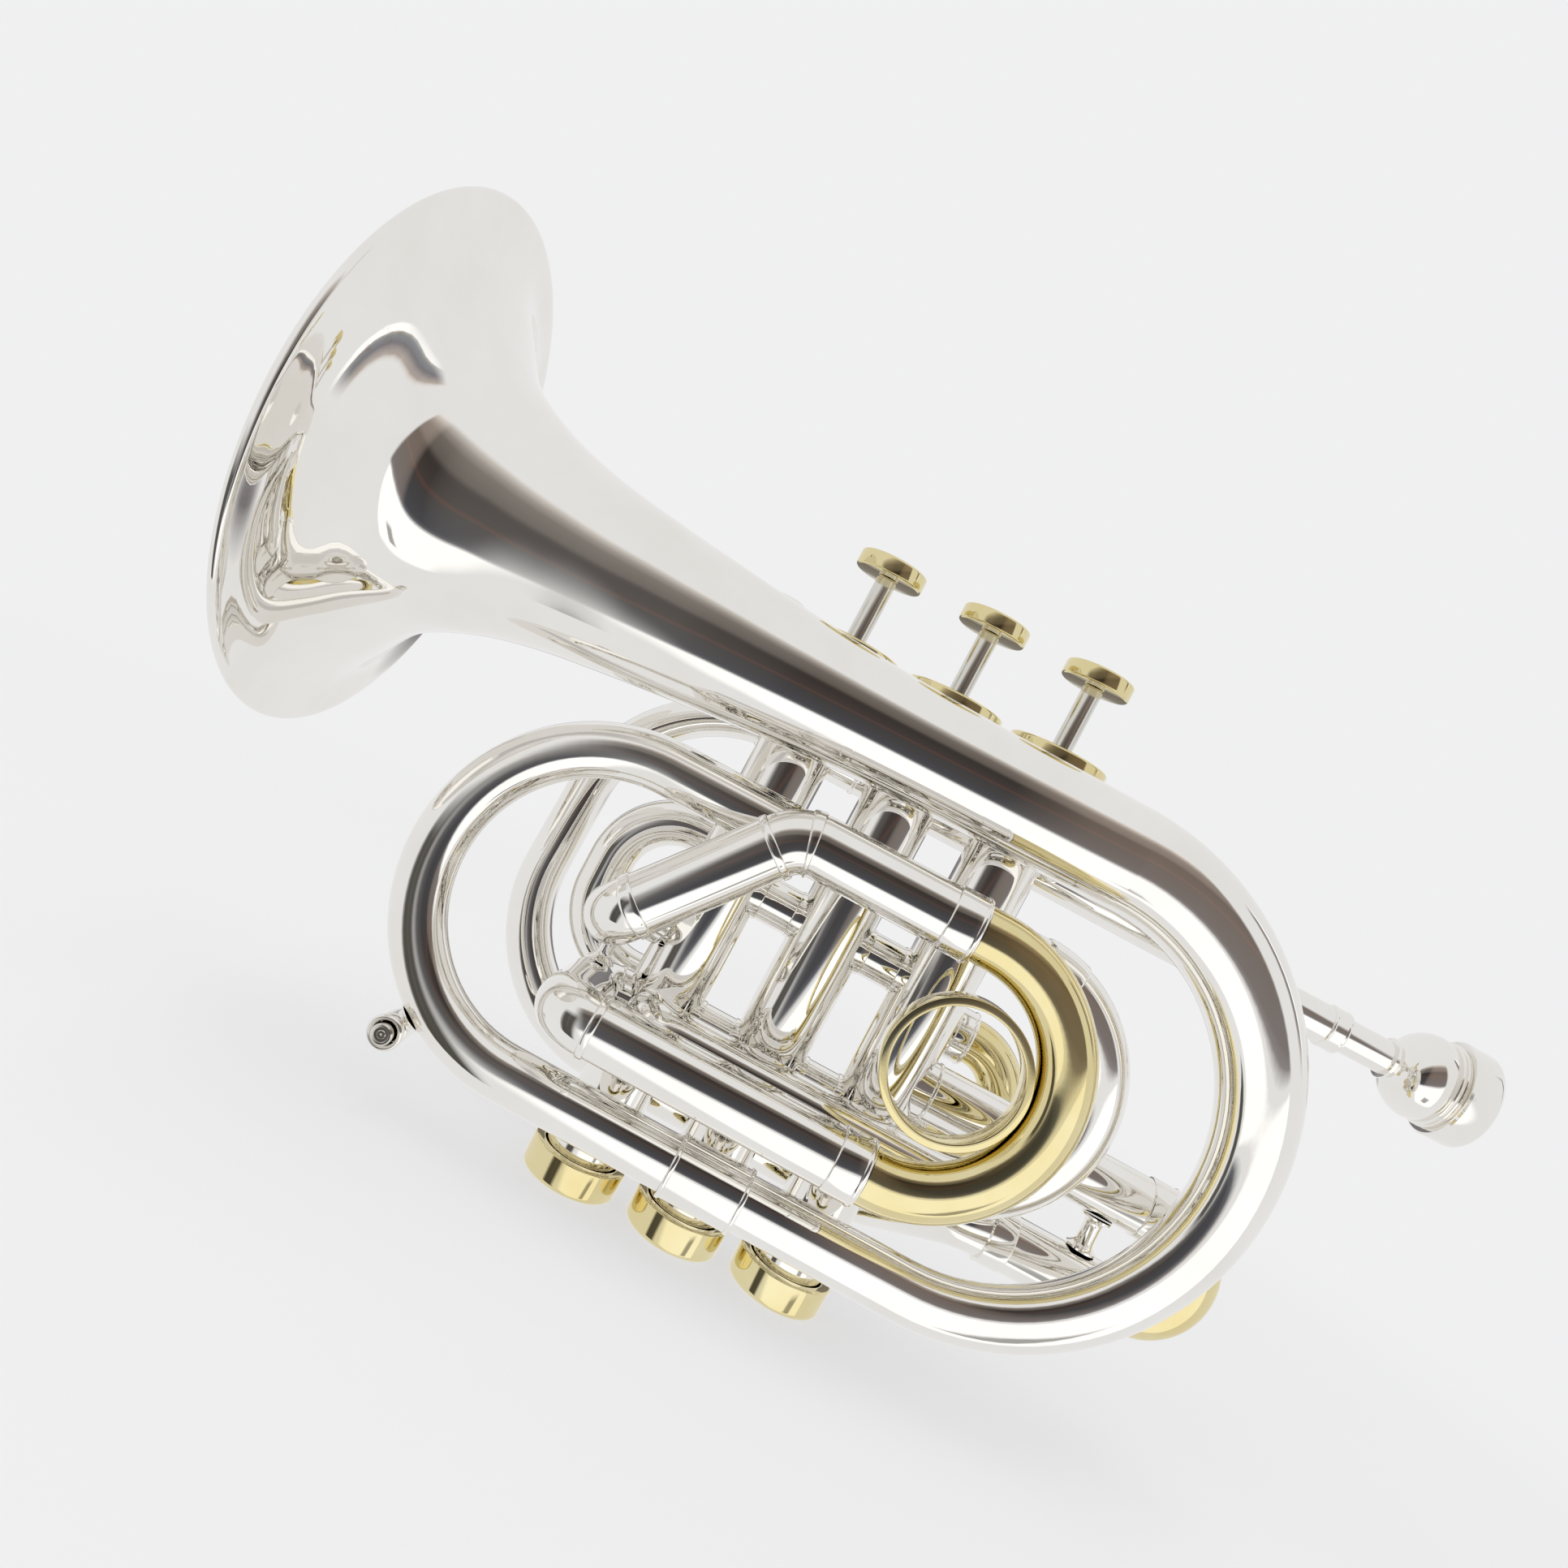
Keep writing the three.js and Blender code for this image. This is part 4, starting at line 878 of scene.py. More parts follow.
@dataclass
class Bell:
    """Bell with its rolled rim, and the tapered bow that carries it under the valves."""

    mouth: float = -133.9
    tail: float = 48
    side: float = -25
    height: float = 129.6
    rim_radius: float = 61.5
    stem_radius: float = 11.9
    wall: float = 0.8
    bead: float = 1.2
    bead_start: float = -60
    bead_turn: float = 200
    bead_steps: int = 12
    # Depths where the inside turns dull and darkened by painted shade.
    bore_start: float = 30
    bore_end: float = 75
    flare_steps: int = 8
    length_shares: Sequence[float] = (
        0.02, 0.052, 0.098, 0.164, 0.242, 0.347, 0.419, 0.504, 0.684, 1)
    flare_shares: Sequence[float] = (
        0.8, 0.6, 0.395, 0.266, 0.185, 0.129, 0.099, 0.066, 0.018, 0)
    tail_end: float = 6.5
    tail_wall: float = 0.6
    tail_shares: Sequence[float] = (0, 0.39, 0.776, 1)
    taper_shares: Sequence[float] = (1, 0.385, 0.04, 0)
    bottom_height: float = 23.4
    sleeve_half: float = 8.85
    sleeve_radius: float = 7.3
    sleeve_wall: float = 0.5
    sleeve_wire: float = 1.1
    sleeve_wire_rise: float = 0.35

    def bead_point(self, degrees: float) -> tuple[float, float]:
        """Point of the rolled rim.

        Args:
            degrees: Its angle round the bead.

        Returns:
            Radius and distance from the mouth.
        """
        angle = math.radians(degrees)
        radius = self.rim_radius - self.bead + self.bead * math.cos(angle)
        return radius, self.bead * (1 - math.sin(angle))

    def outline(self) -> Profile:
        """Profile of the bell's wall and rim, as radius and distance from the mouth.

        Returns:
            Points round the wall, closed on itself.
        """
        length = self.tail - self.mouth
        swell = self.rim_radius - self.stem_radius
        outer = curve_through([self.bead_point(self.bead_start)] + [
            (self.stem_radius + flare * swell, share * length)
            for share, flare in zip(self.length_shares, self.flare_shares)
        ], self.flare_steps)
        inner = []
        for i, (radius, distance) in enumerate(outer):
            before, after = outer[max(0, i - 1)], outer[min(len(outer) - 1, i + 1)]
            way = Vector((after[0] - before[0], after[1] - before[1])).normalized()
            inner.append((radius - self.wall * way.y, distance + self.wall * way.x))
        inner[-1] = (self.stem_radius - self.wall, length)
        rim = [
            self.bead_point(self.bead_start + self.bead_turn * k / self.bead_steps)
            for k in range(self.bead_steps + 1)
        ]
        return [*rim, *inner[2:], *reversed(outer[1:])]

    def dull_and_shade_throat(self, shape: bmesh.types.BMesh) -> None:
        """Marks how dull the bell's inside is, and how far painted shade darkens it, from the
        polished flare into the throat.

        Args:
            shape: The bell, turned round Z from its mouth up.
        """
        bmesh.ops.recalc_face_normals(shape, faces=shape.faces)
        shape.normal_update()
        bore = shape.verts.layers.float.new("bore")
        for vert in shape.verts:
            outward = Vector((vert.co.x, vert.co.y, 0)).dot(vert.normal)
            share = (vert.co.z - self.bore_start) / (self.bore_end - self.bore_start)
            share = min(1.0, max(0.0, share))
            # Rises from the flare into the throat: there it dulls the metal and darkens its colour
            # as painted shade.
            vert[bore] = share * share * (3 - 2 * share) if outward < 0 else 0.0

    def build(self, bench: Bench) -> None:
        """Makes the bell's pieces.

        Args:
            bench: Bench that finishes them.
        """
        shape = bench.turned(self.outline(), sides=BELL_SIDES)
        self.dull_and_shade_throat(shape)
        bench.finish(shape, "bell", Slot.SILVER, place=along_x(self.mouth, self.side, self.height))
        taper = self.stem_radius - self.tail_end
        run = hairpin(
            (self.tail, self.side, self.height), self.tail,
            (SEAT_GAP / 2, self.side, self.bottom_height))

        def radius(share: float) -> float:
            """Radius of the tail bow by the share of its way."""
            return self.tail_end + taper * eased(share, self.tail_shares, self.taper_shares)

        shape = bench.tube(run, radius, self.tail_wall)
        bench.finish(shape, "bell_tail_bow", Slot.SILVER)
        ends = (-self.sleeve_half, self.sleeve_half)
        run = Route([(x, self.side, self.bottom_height) for x in ends])
        half = self.sleeve_wire / 2
        rings = [
            wire(at, self.sleeve_wire, self.sleeve_wire_rise) for at in (half, run.length() - half)]
        shape = bench.tube(run, self.sleeve_radius, self.sleeve_wall, rings)
        bench.finish(shape, "bell_ferrule", Slot.SILVER)


@dataclass
class LeftBows:
    """Front bow with the top and bottom legs, and the rear bow that feeds the third valve."""

    radius: float = 6.5
    wall: float = 0.6
    bell_side: float = -25
    side: float = -17
    bottom: float = 23.4
    top: float = 99.4
    front_start: float = -50
    rear_start: float = 43
    rear_height: float = 46
    rear_elbow: float = 7.7
    sleeve: Band = Band(0, 9, 0.45)

    def build(self, bench: Bench) -> None:
        """Makes both bows.

        Args:
            bench: Bench that finishes them.
        """
        run = hairpin(
            (-SEAT_GAP / 2, self.bell_side, self.bottom), self.front_start,
            (self.rear_start, self.side, self.top))
        bench.finish(bench.tube(run, self.radius, self.wall), "front_bow", Slot.SILVER)
        bend = (self.top - self.rear_height) / 2
        rear = self.rear_start + bend
        run = Route([
            (self.rear_start, self.side, self.top), (rear, self.side, self.top),
            (rear, self.side, self.rear_height), (VALVE_X[3], self.side, self.rear_height),
            (VALVE_X[3], -CASING_RADIUS, self.rear_height),
        ], [bend, bend, self.rear_elbow])
        shape = bench.tube(run, self.radius, self.wall, [self.sleeve], end=Saddle(3))
        bench.finish(shape, "rear_bow", Slot.SILVER)


@dataclass
class ThirdSlide:
    """Third valve slide: fixed legs with elbows, and the brass bow with the finger ring."""

    radius: float = 6.9
    wall: float = 0.5
    side: float = -35
    upper: float = 100.3
    lower: float = 44.4
    port: float = 66.5
    elbow_x: float = -45
    elbow_bend: float = 7.2
    knee_bend: float = 9.5
    slant_run: float = 27.5
    upper_end: float = 24.6
    lower_end: float = 27.3
    ferrule: Band = end_sleeve(7.5, 0.45)
    lip: Band = wire(0.75, 1.3, 0.75)
    foot_wire: float = 2.2
    upper_joints: Sequence[float] = (-14.6, -21.2, -41.0)
    lower_joints: Sequence[float] = (-36.9,)
    bow_start: float = 29
    bow_wall: float = 0.6
    upper_inset: float = 33
    lower_inset: float = 36
    ring_radius: float = 16.2
    ring_wall: float = 2
    ring_width: float = 7
    post_radius: float = 3
    post_foot: float = 0.6
    post_waist: float = 1.3
    post_fillet: float = 1.4
    post_side: float = -7.2
    post_edge: float = 0.5
    ring_edge: float = 0.35

    def legs(self, bench: Bench) -> None:
        """Makes the fixed legs and the post between them.

        Args:
            bench: Bench that finishes them.
        """
        stop = VALVE_X[3] - CASING_RADIUS
        slant = math.atan2(self.upper - self.port, self.slant_run)
        knee = self.elbow_x + self.slant_run
        upper = Route([
            (self.upper_end, self.side, self.upper), (knee, self.side, self.upper),
            (self.elbow_x, self.side, self.port), (self.elbow_x, 0, self.port),
            (stop, 0, self.port),
        ], [self.knee_bend / math.cos(slant / 2), self.elbow_bend, self.elbow_bend])
        lower = Route([
            (self.lower_end, self.side, self.lower), (self.elbow_x, self.side, self.lower),
            (self.elbow_x, 0, self.lower), (stop, 0, self.lower),
        ], [self.elbow_bend, self.elbow_bend])
        for level, run, joints in (
            ("upper", upper, self.upper_joints), ("lower", lower, self.lower_joints),
        ):
            rings = [self.ferrule, self.lip, *(collar(self.along(run, x)) for x in joints)]
            rings.append(wire(run.length() - self.foot_wire))
            shape = bench.tube(run, self.radius, self.wall, rings, end=Saddle(3))
            bench.finish(shape, f"third_{level}_leg", Slot.SILVER)
        reach = self.radius + SEAT_GAP / 2
        foot, head = self.lower + reach, self.port - reach
        wide, slim = self.post_radius + self.post_foot, self.post_radius - self.post_waist
        rise = self.post_waist * self.post_fillet
        profile = [
            (0, foot), (wide, foot), (slim, foot + rise), (slim, head - rise), (wide, head),
            (0, head),
        ]
        bench.finish(
            bench.turned(profile, self.post_edge, TUBE_SIDES), "third_leg_post", Slot.SILVER,
            place=Matrix.Translation((self.elbow_x, self.post_side, 0)))

    def along(self, run: Route, x: float) -> float:
        """Distance along a leg where it first passes a place along the trumpet.

        Args:
            run: Centreline of the leg, which starts at its open end.
            x: The place.

        Returns:
            The distance.
        """
        stations = run.bare_stations()
        for near, far in zip(stations, stations[1:]):
            if near.place.x >= x >= far.place.x:
                share = (near.place.x - x) / max(ROUNDING, near.place.x - far.place.x)
                return near.distance + share * (far.distance - near.distance)
        return stations[-1].distance

    def slide(self, bench: Bench) -> None:
        """Makes the moving bow, its inner tubes and the finger ring.

        Args:
            bench: Bench that finishes them.
        """
        body = "third_slide"
        radius = self.radius - self.wall
        run = hairpin(
            (self.upper_end + SEAT_GAP, self.side, self.upper), self.bow_start,
            (self.lower_end + SEAT_GAP, self.side, self.lower))
        bench.finish(bench.tube(run, radius, self.bow_wall), "third_slide_bow", Slot.BRASS, body)
        for level, end, inset, height in (
            ("upper", self.upper_end, self.upper_inset, self.upper),
            ("lower", self.lower_end, self.lower_inset, self.lower),
        ):
            run = Route([(end, self.side, height), (end - inset, self.side, height)])
            shape = bench.tube(run, radius - SLIDE_GAP, self.wall)
            bench.finish(shape, f"third_slide_tube_{level}", Slot.NICKEL, body)
        bend = (self.upper - self.lower) / 2
        centre = self.bow_start + bend - radius - SEAT_GAP - self.ring_radius
        bore = self.ring_radius - self.ring_wall
        half = self.ring_width / 2
        profile = [(bore, -half), (self.ring_radius, -half), (self.ring_radius, half), (bore, half)]
        place = Matrix.Translation((centre, self.side, (self.upper + self.lower) / 2))
        bench.finish(
            bench.turned(profile, self.ring_edge), "finger_ring", Slot.BRASS, body,
            place=place @ Matrix.Rotation(math.pi / 2, 4, "X"))

    def build(self, bench: Bench) -> None:
        """Makes the whole slide."""
        self.legs(bench)
        self.slide(bench)


@dataclass
class Crossover:
    """Bow at the front of the third valve, between its upper and lower ports."""

    radius: float = 5.9
    wall: float = 0.6
    reach: float = 29
    side: float = 17
    upper: float = 88
    lower: float = 47
    bend: float = 17
    elbow: float = 7
    foot_wire: float = 1.2
    joint_wire: float = 1

    def build(self, bench: Bench) -> None:
        """Makes the bow.

        Args:
            bench: Bench that finishes it.
        """
        foot, front = VALVE_X[3], VALVE_X[3] - self.reach
        run = Route([
            (foot, CASING_RADIUS, self.upper), (foot, self.side, self.upper),
            (front, self.side, self.upper), (front, self.side, self.lower),
            (foot, self.side, self.lower), (foot, CASING_RADIUS, self.lower),
        ], [self.elbow, self.bend, self.bend, self.elbow])
        turn = self.elbow * math.pi / 2 + self.side - CASING_RADIUS - self.elbow
        starts = (self.foot_wire, turn + self.joint_wire)
        rings = [wire(at) for start in starts for at in (start, run.length() - start)]
        shape = bench.tube(run, self.radius, self.wall, rings, Saddle(3), Saddle(3))
        bench.finish(shape, "crossover_bow", Slot.SILVER)


@dataclass
class TuningSlide:
    """Main tuning slide behind the first valve."""

    radius: float = 7
    wall: float = 0.5
    upper: float = 59.9
    lower: float = 36.9
    end: float = 103
    lower_start: float = 66
    upper_inset: float = 45
    lower_inset: float = 36
    ferrule: Band = end_sleeve(7.5, 0.45)
    lip: Band = wire(0.75, 1.3, 0.7)
    foot_wire: float = 1.5
    joint_sleeve: float = 6
    joint_rise: float = 0.4
    brace_x: float = 88

    def build(self, bench: Bench) -> None:
        """Makes the legs, the brace and the moving bow.

        Args:
            bench: Bench that finishes them.
        """
        run = Route([(self.end, 0, self.upper), (VALVE_X[1] + CASING_RADIUS, 0, self.upper)])
        rings = [self.ferrule, self.lip, wire(run.length() - self.foot_wire)]
        shape = bench.tube(run, self.radius, self.wall, rings, end=Saddle(1))
        bench.finish(shape, "tuning_upper_leg", Slot.SILVER)
        run = Route([(self.end, 0, self.lower), (self.lower_start, 0, self.lower)])
        joint = far_sleeve(run.length(), self.joint_sleeve, self.joint_rise)
        shape = bench.tube(run, self.radius, self.wall, [self.ferrule, self.lip, joint])
        bench.finish(shape, "tuning_lower_leg", Slot.SILVER)
        run = hairpin(
            (self.end - self.upper_inset, 0, self.upper), self.end + SEAT_GAP,
            (self.end - self.lower_inset, 0, self.lower))
        shape = bench.tube(run, self.radius - self.wall - SLIDE_GAP, self.wall)
        bench.finish(shape, "tuning_slide", Slot.BRASS, "main_tuning_slide")
        reach = self.radius + SEAT_GAP / 2
        bench.finish(
            brace(bench, self.upper - self.lower - 2 * reach), "tuning_brace", Slot.SILVER,
            place=Matrix.Translation((self.brace_x, 0, self.lower + reach)))


# Foot of a brace: shares of the flange's and the rod's radius, with heights in millimetres.
FLANGE_STEPS: Profile = ((1.0, 0), (1.0, 0.5), (0.82, 0.85))
ROD_STEPS: Profile = ((1.12, 1.5), (1.0, 2.4))
FOOT_SHARE = 0.4


def brace(
    bench: Bench, length: float, radius: float = 2.2, flange: float = 3.8,
) -> bmesh.types.BMesh:
    """Turned rod with a flared foot at each end, as braces are soldered on.

    Args:
        bench: Bench that turns it.
        length: Distance between the feet.
        radius: Radius of the rod.
        flange: Radius of a foot.

    Returns:
        The brace standing on the origin.
    """
    tallest = length * FOOT_SHARE
    foot = [(flange * share, rise) for share, rise in FLANGE_STEPS]
    foot += [(radius * share, rise) for share, rise in ROD_STEPS]
    half = [(0, 0), *((size, min(rise, tallest)) for size, rise in foot)]
    profile = half + [(size, length - rise) for size, rise in reversed(half)]
    return bench.turned(profile, sides=TUBE_SIDES)


@dataclass
class Leadpipe:
    """Leadpipe with its bow, the far leg to the tuning slide, and the receiver."""

    side: float = 31
    height: float = 119.8
    radius: float = 5
    wall: float = 0.6
    start: float = 100
    joints: Sequence[float] = (-11.0, 39.3)
    joint_width: float = 1.2
    bow_start: float = -34.5
    bow_bend: float = 38
    bow_sleeve: Band = Band(0, 6, 0.5)
    far_side: float = 19
    far_height: float = 24
    far_radius: float = 6.5
    far_join: float = -30
    leg_sleeve: Band = Band(0, 9, 0.5)
    rise_start: float = 40
    rise_end: float = 60
    rise_bend: float = 12
    leg_start: float = 66
    leg_height: float = 36.9
    receiver_radius: float = 5.5
    receiver_end: float = 133.5
    receiver_bore: float = 4.95
    receiver_sleeve: Band = end_sleeve(4.5, 0.35)
    ring_length: float = 5
    ring_rise: float = 0.4
    ring_wire: float = 0.9
    ring_wires: Sequence[float] = (4.5, 0.6)
    wire_rise: float = 0.5

    def build(self, bench: Bench) -> None:
        """Makes the pipes and the receiver.

        Args:
            bench: Bench that finishes them.
        """
        start = (self.start, self.side, self.height)
        run = Route([start, (self.bow_start, self.side, self.height)])
        rings = [wire(self.start - x, self.joint_width, self.wire_rise) for x in self.joints]
        bench.finish(bench.tube(run, self.radius, self.wall, rings), "leadpipe", Slot.SILVER)
        front = self.bow_start - self.bow_bend
        bend = self.bow_bend - SEAT_GAP
        swell = self.far_radius - self.radius
        joint = (self.far_join, self.far_side, self.far_height)
        run = Route([
            (self.bow_start, self.side, self.height), (front, self.side, self.height),
            (front, self.far_side, self.far_height), joint,
        ], [bend, bend])
        shape = bench.tube(
            run, lambda share: self.radius + swell * share, self.wall, [self.bow_sleeve])
        bench.finish(shape, "leadpipe_bow", Slot.SILVER)
        run = Route([
            joint, (self.rise_start, self.far_side, self.far_height),
            (self.rise_end, 0, self.leg_height), (self.leg_start, 0, self.leg_height),
        ], [self.rise_bend, self.rise_bend])
        shape = bench.tube(run, self.far_radius, self.wall, [self.leg_sleeve])
        bench.finish(shape, "far_leg", Slot.SILVER)
        run = Route([start, (self.receiver_end, self.side, self.height)])
        length = run.length()
        rings = [
            far_sleeve(length, self.ring_length, self.ring_rise), self.receiver_sleeve,
            *(wire(length - at, self.ring_wire, self.wire_rise) for at in self.ring_wires),
        ]
        wall = self.receiver_radius - self.receiver_bore
        shape = bench.tube(run, self.receiver_radius, wall, rings)
        bench.finish(shape, "mouthpiece_receiver", Slot.SILVER)


@dataclass
class Mouthpiece:
    """Mouthpiece turned in one piece, with its cup, throat and backbore."""

    side: float = 31
    height: float = 119.8
    rim: float = 172.3
    tip: float = 108.5
    tip_radius: float = 4.3
    shank_radius: float = 4.7
    shank_end: float = 133.5
    neck: float = 146.8
    neck_radius: float = 5.2
    neck_ring: float = 0.5
    ring_start: float = 0.15
    ring_end: float = 0.9
    waist_start: float = 1.3
    waist_end: float = 1.6
    bowl: Profile = ((6.0, 149.3), (8.8, 151.0), (10.9, 153.8), (11.8, 157.0), (11.5, 159.4))
    bowl_end_radius: float = 11.1
    bead: float = 160.5
    bead_step: float = 1.3
    bead_rise: float = 0.9
    bead_half: float = 0.55
    bead_angles: Sequence[float] = (20, 55, 90, 125, 160)
    band: float = 163.2
    band_groove: float = 11.2
    band_inset: float = 0.5
    band_foot: float = 0.1
    band_corner: float = 0.6
    radius: float = 13.5
    lip: float = 2.4
    lip_angles: Sequence[float] = (15, 30, 45, 60, 75, 90)
    bite: float = 1.6
    bite_angles: Sequence[float] = (0, 22, 45, 67, 90)
    cup_radius: float = 8.2
    cup_depth: float = 12
    cup_step: float = 3.2
    cup_shares: tuple[float, float] = (0.93, 0.68)
    throat: float = 1.85
    throat_share: float = 1.7
    throat_rise: float = 0.6
    throat_depth: float = 0.9
    backbore: float = 3.6
    curve_steps: int = 5

    def profile(self) -> Profile:
        """Profile as radius and place along the trumpet.

        Returns:
            Points round the wall, closed on itself.
        """
        waist, collar_radius = self.neck_radius - self.neck_ring, self.neck_radius + self.neck_ring
        end = self.bowl_end_radius
        outside = [
            (self.backbore, self.tip), (self.tip_radius, self.tip),
            (self.shank_radius, self.shank_end), (self.shank_radius, self.neck),
            (collar_radius, self.neck + self.ring_start),
            (collar_radius, self.neck + self.ring_end), (waist, self.neck + self.waist_start),
        ]
        outside += curve_through(
            [(waist, self.neck + self.waist_end), *self.bowl, (end, self.bead)], self.curve_steps)
        for bead in (self.bead, self.bead + self.bead_step):
            for angle in map(math.radians, self.bead_angles):
                along = bead + self.bead_half * (1 - math.cos(angle))
                outside.append((end + self.bead_rise * math.sin(angle), along))
        shoulder = self.rim - self.lip
        outside += [
            (self.band_groove, self.band),
            (self.radius - self.band_inset, self.band + self.band_foot),
            (self.radius, self.band + self.band_corner), (self.radius, shoulder),
        ]
        for angle in map(math.radians, self.lip_angles):
            inset = self.lip * (1 - math.cos(angle))
            outside.append((self.radius - inset, shoulder + self.lip * math.sin(angle)))
        cup_start = self.rim - self.bite
        inside = []
        for angle in map(math.radians, self.bite_angles):
            inset = self.bite * (1 - math.sin(angle))
            inside.append((self.cup_radius + inset, cup_start + self.bite * math.cos(angle)))
        floor = self.rim - self.cup_depth
        high_share, low_share = self.cup_shares
        cup = curve_through([
            (self.cup_radius, cup_start),
            (self.cup_radius * high_share, cup_start - self.cup_step),
            (self.cup_radius * low_share, floor + self.cup_step),
            (self.throat * self.throat_share, floor + self.throat_rise),
            (self.throat, floor - self.throat_depth),
        ], self.curve_steps)
        return [*outside, *inside, *cup[1:], (self.throat, self.neck)]

    def build(self, bench: Bench) -> None:
        """Makes the mouthpiece.

        Args:
            bench: Bench that finishes it.
        """
        bench.finish(
            bench.turned(self.profile()), "mouthpiece", Slot.SILVER, "mouthpiece_body",
            place=along_x(0, self.side, self.height))


@dataclass
class FirstSlide:
    """First valve slide on the far side, whose legs turn back along the trumpet."""

    valve: int = 1
    ordinal: str = "first"
    radius: float = 6.7
    wall: float = 0.5
    side: float = 22
    bend: float = 7.2
    end: float = 46
    inset: float = 9.5
    upper: float = 72.6
    lower: float = 44.8
    bow_gap: float = 1
    ferrule: Band = end_sleeve(5, 0.4)
    lip: Band = wire(0.7, 1.2, 0.7)
    foot_wire: float = 1.4

    def at(self, reach: float, height: float) -> Point:
        """Place on a straight run of the slide."""
        return reach, self.side, height

    def leg(self, height: float) -> Route:
        """Centreline of a fixed leg.

        Args:
            height: Height of the leg.

        Returns:
            The route from the open end round the elbow to the casing.
        """
        x = VALVE_X[self.valve]
        corner, foot = (x, self.side, height), (x, CASING_RADIUS, height)
        return Route([self.at(self.end, height), corner, foot], [self.bend])

    def build(self, bench: Bench) -> None:
        """Makes the legs and the moving bow.

        Args:
            bench: Bench that finishes them.
        """
        for level, height in (("upper", self.upper), ("lower", self.lower)):
            run = self.leg(height)
            rings = [self.ferrule, self.lip, wire(run.length() - self.foot_wire)]
            shape = bench.tube(run, self.radius, self.wall, rings, end=Saddle(self.valve))
            bench.finish(shape, f"{self.ordinal}_{level}_leg", Slot.SILVER)
        bend = (self.upper - self.lower) / 2
        bow = self.end + self.bow_gap + bend
        back = self.end - self.inset
        run = Route([
            self.at(back, self.upper), self.at(bow, self.upper), self.at(bow, self.lower),
            self.at(back, self.lower),
        ], [bend, bend])
        shape = bench.tube(run, self.radius - self.wall - SLIDE_GAP, self.wall)
        bench.finish(shape, f"{self.ordinal}_slide", Slot.BRASS, f"{self.ordinal}_valve_slide")


@dataclass
class SecondSlide(FirstSlide):
    """Second valve slide, straight out to the player's right."""

    valve: int = 2
    ordinal: str = "second"
    end: float = 23
    inset: float = 12.5
    upper: float = 72
    lower: float = 48

    def at(self, reach: float, height: float) -> Point:
        """Place on a straight run of the slide."""
        return VALVE_X[self.valve], reach, height

    def leg(self, height: float) -> Route:
        """Centreline of a fixed leg, from its open end."""
        return Route([self.at(self.end, height), self.at(CASING_RADIUS, height)])


@dataclass
class WaterKey:
    """Push button water key under the front bow."""

    bow_x: float = -50
    bow_side: float = -21
    bow_height: float = 61.4
    bow_bend: float = 38.21
    bow_tilt: float = 8 / 76
    leg_radius: float = 6.5
    drop_share: float = 0.84
    barrel_radius: float = 4.1
    barrel_length: float = 10
    barrel_edge: float = 0.12
    barrel_back: Profile = ((1.1, 0), (0.2, 0.9))
    barrel_front: Profile = ((0.2, 3.0), (0.9, 2.6), (0.9, 2.1), (0, 1.7), (0, 0.5), (0.5, 0))
    mouth: float = 0.6
    mouth_depth: float = 0.5
    stand_off: float = 0.5
    foot_depth: float = 0.4
    neck_radius: float = 2.6
    neck_fillet: Profile = ((1.0, 0), (0.9, 0.4), (0.2, 0.8), (0, 1.2))
    neck_wall: float = 0.8
    plunger_radius: float = 2.45
    plunger_length: float = 8.4
    plunger_edge: float = 0.35
    plunger_face: Profile = (
        (0.72, 0.05), (0.66, 0.3), (0.4, 0.3), (0.34, 0.15), (0.12, 0.15), (0, 0.4))
    stand_out: float = 1.6

    def build(self, bench: Bench) -> None:
        """Makes the barrel on its neck, and the plunger.

        Args:
            bench: Bench that finishes them.
        """
        down = Vector((0, -self.bow_tilt, -1)).normalized()
        outward = down * self.drop_share + Vector((-1, 0, 0)) * math.sqrt(1 - self.drop_share ** 2)
        centre = Vector((self.bow_x, self.bow_side, self.bow_height))
        leg = self.bow_bend + self.leg_radius
        foot = centre + outward * (leg - self.foot_depth)
        barrel = centre + outward * (leg + self.stand_off + self.barrel_radius)
        half = self.barrel_length / 2
        bore = self.plunger_radius + SEAT_GAP
        floor = half - self.plunger_length
        place = Matrix.Translation(barrel) @ Matrix.Rotation(math.pi / 2, 4, "X")
        shape = bench.turned([
            (0, -half),
            *((self.barrel_radius - inset, -half + rise) for inset, rise in self.barrel_back),
            *((self.barrel_radius - inset, half - drop) for inset, drop in self.barrel_front),
            (bore + self.mouth, half), (bore, half - self.mouth_depth), (bore, floor), (0, floor),
        ], self.barrel_edge)
        bmesh.ops.transform(shape, matrix=place, verts=shape.verts)
        reach = (barrel - foot).length - self.plunger_radius - self.neck_wall
        neck = bench.turned([
            (0, 0), *((self.neck_radius + flare, rise) for flare, rise in self.neck_fillet),
            (self.neck_radius, reach), (0, reach),
        ], sides=TUBE_SIDES)
        turn = Vector((0, 0, 1)).rotation_difference(outward).to_matrix().to_4x4()
        bmesh.ops.transform(neck, matrix=Matrix.Translation(foot) @ turn, verts=neck.verts)
        holder = bpy.data.meshes.new("water_key_neck")
        neck.to_mesh(holder)
        neck.free()
        shape.from_mesh(holder)
        bpy.data.meshes.remove(holder)
        bench.finish(shape, "water_key_body", Slot.SILVER)
        end = half + self.stand_out
        back = floor + self.stand_out * 2
        radius = self.plunger_radius
        shape = bench.turned([
            (0, back), (radius, back), (radius, end - self.plunger_edge),
            (radius - self.plunger_edge, end),
            *((radius * share, end - drop) for share, drop in self.plunger_face),
        ], sides=TUBE_SIDES)
        bench.finish(shape, "water_key_plunger", Slot.NICKEL, "key_plunger", place=place)


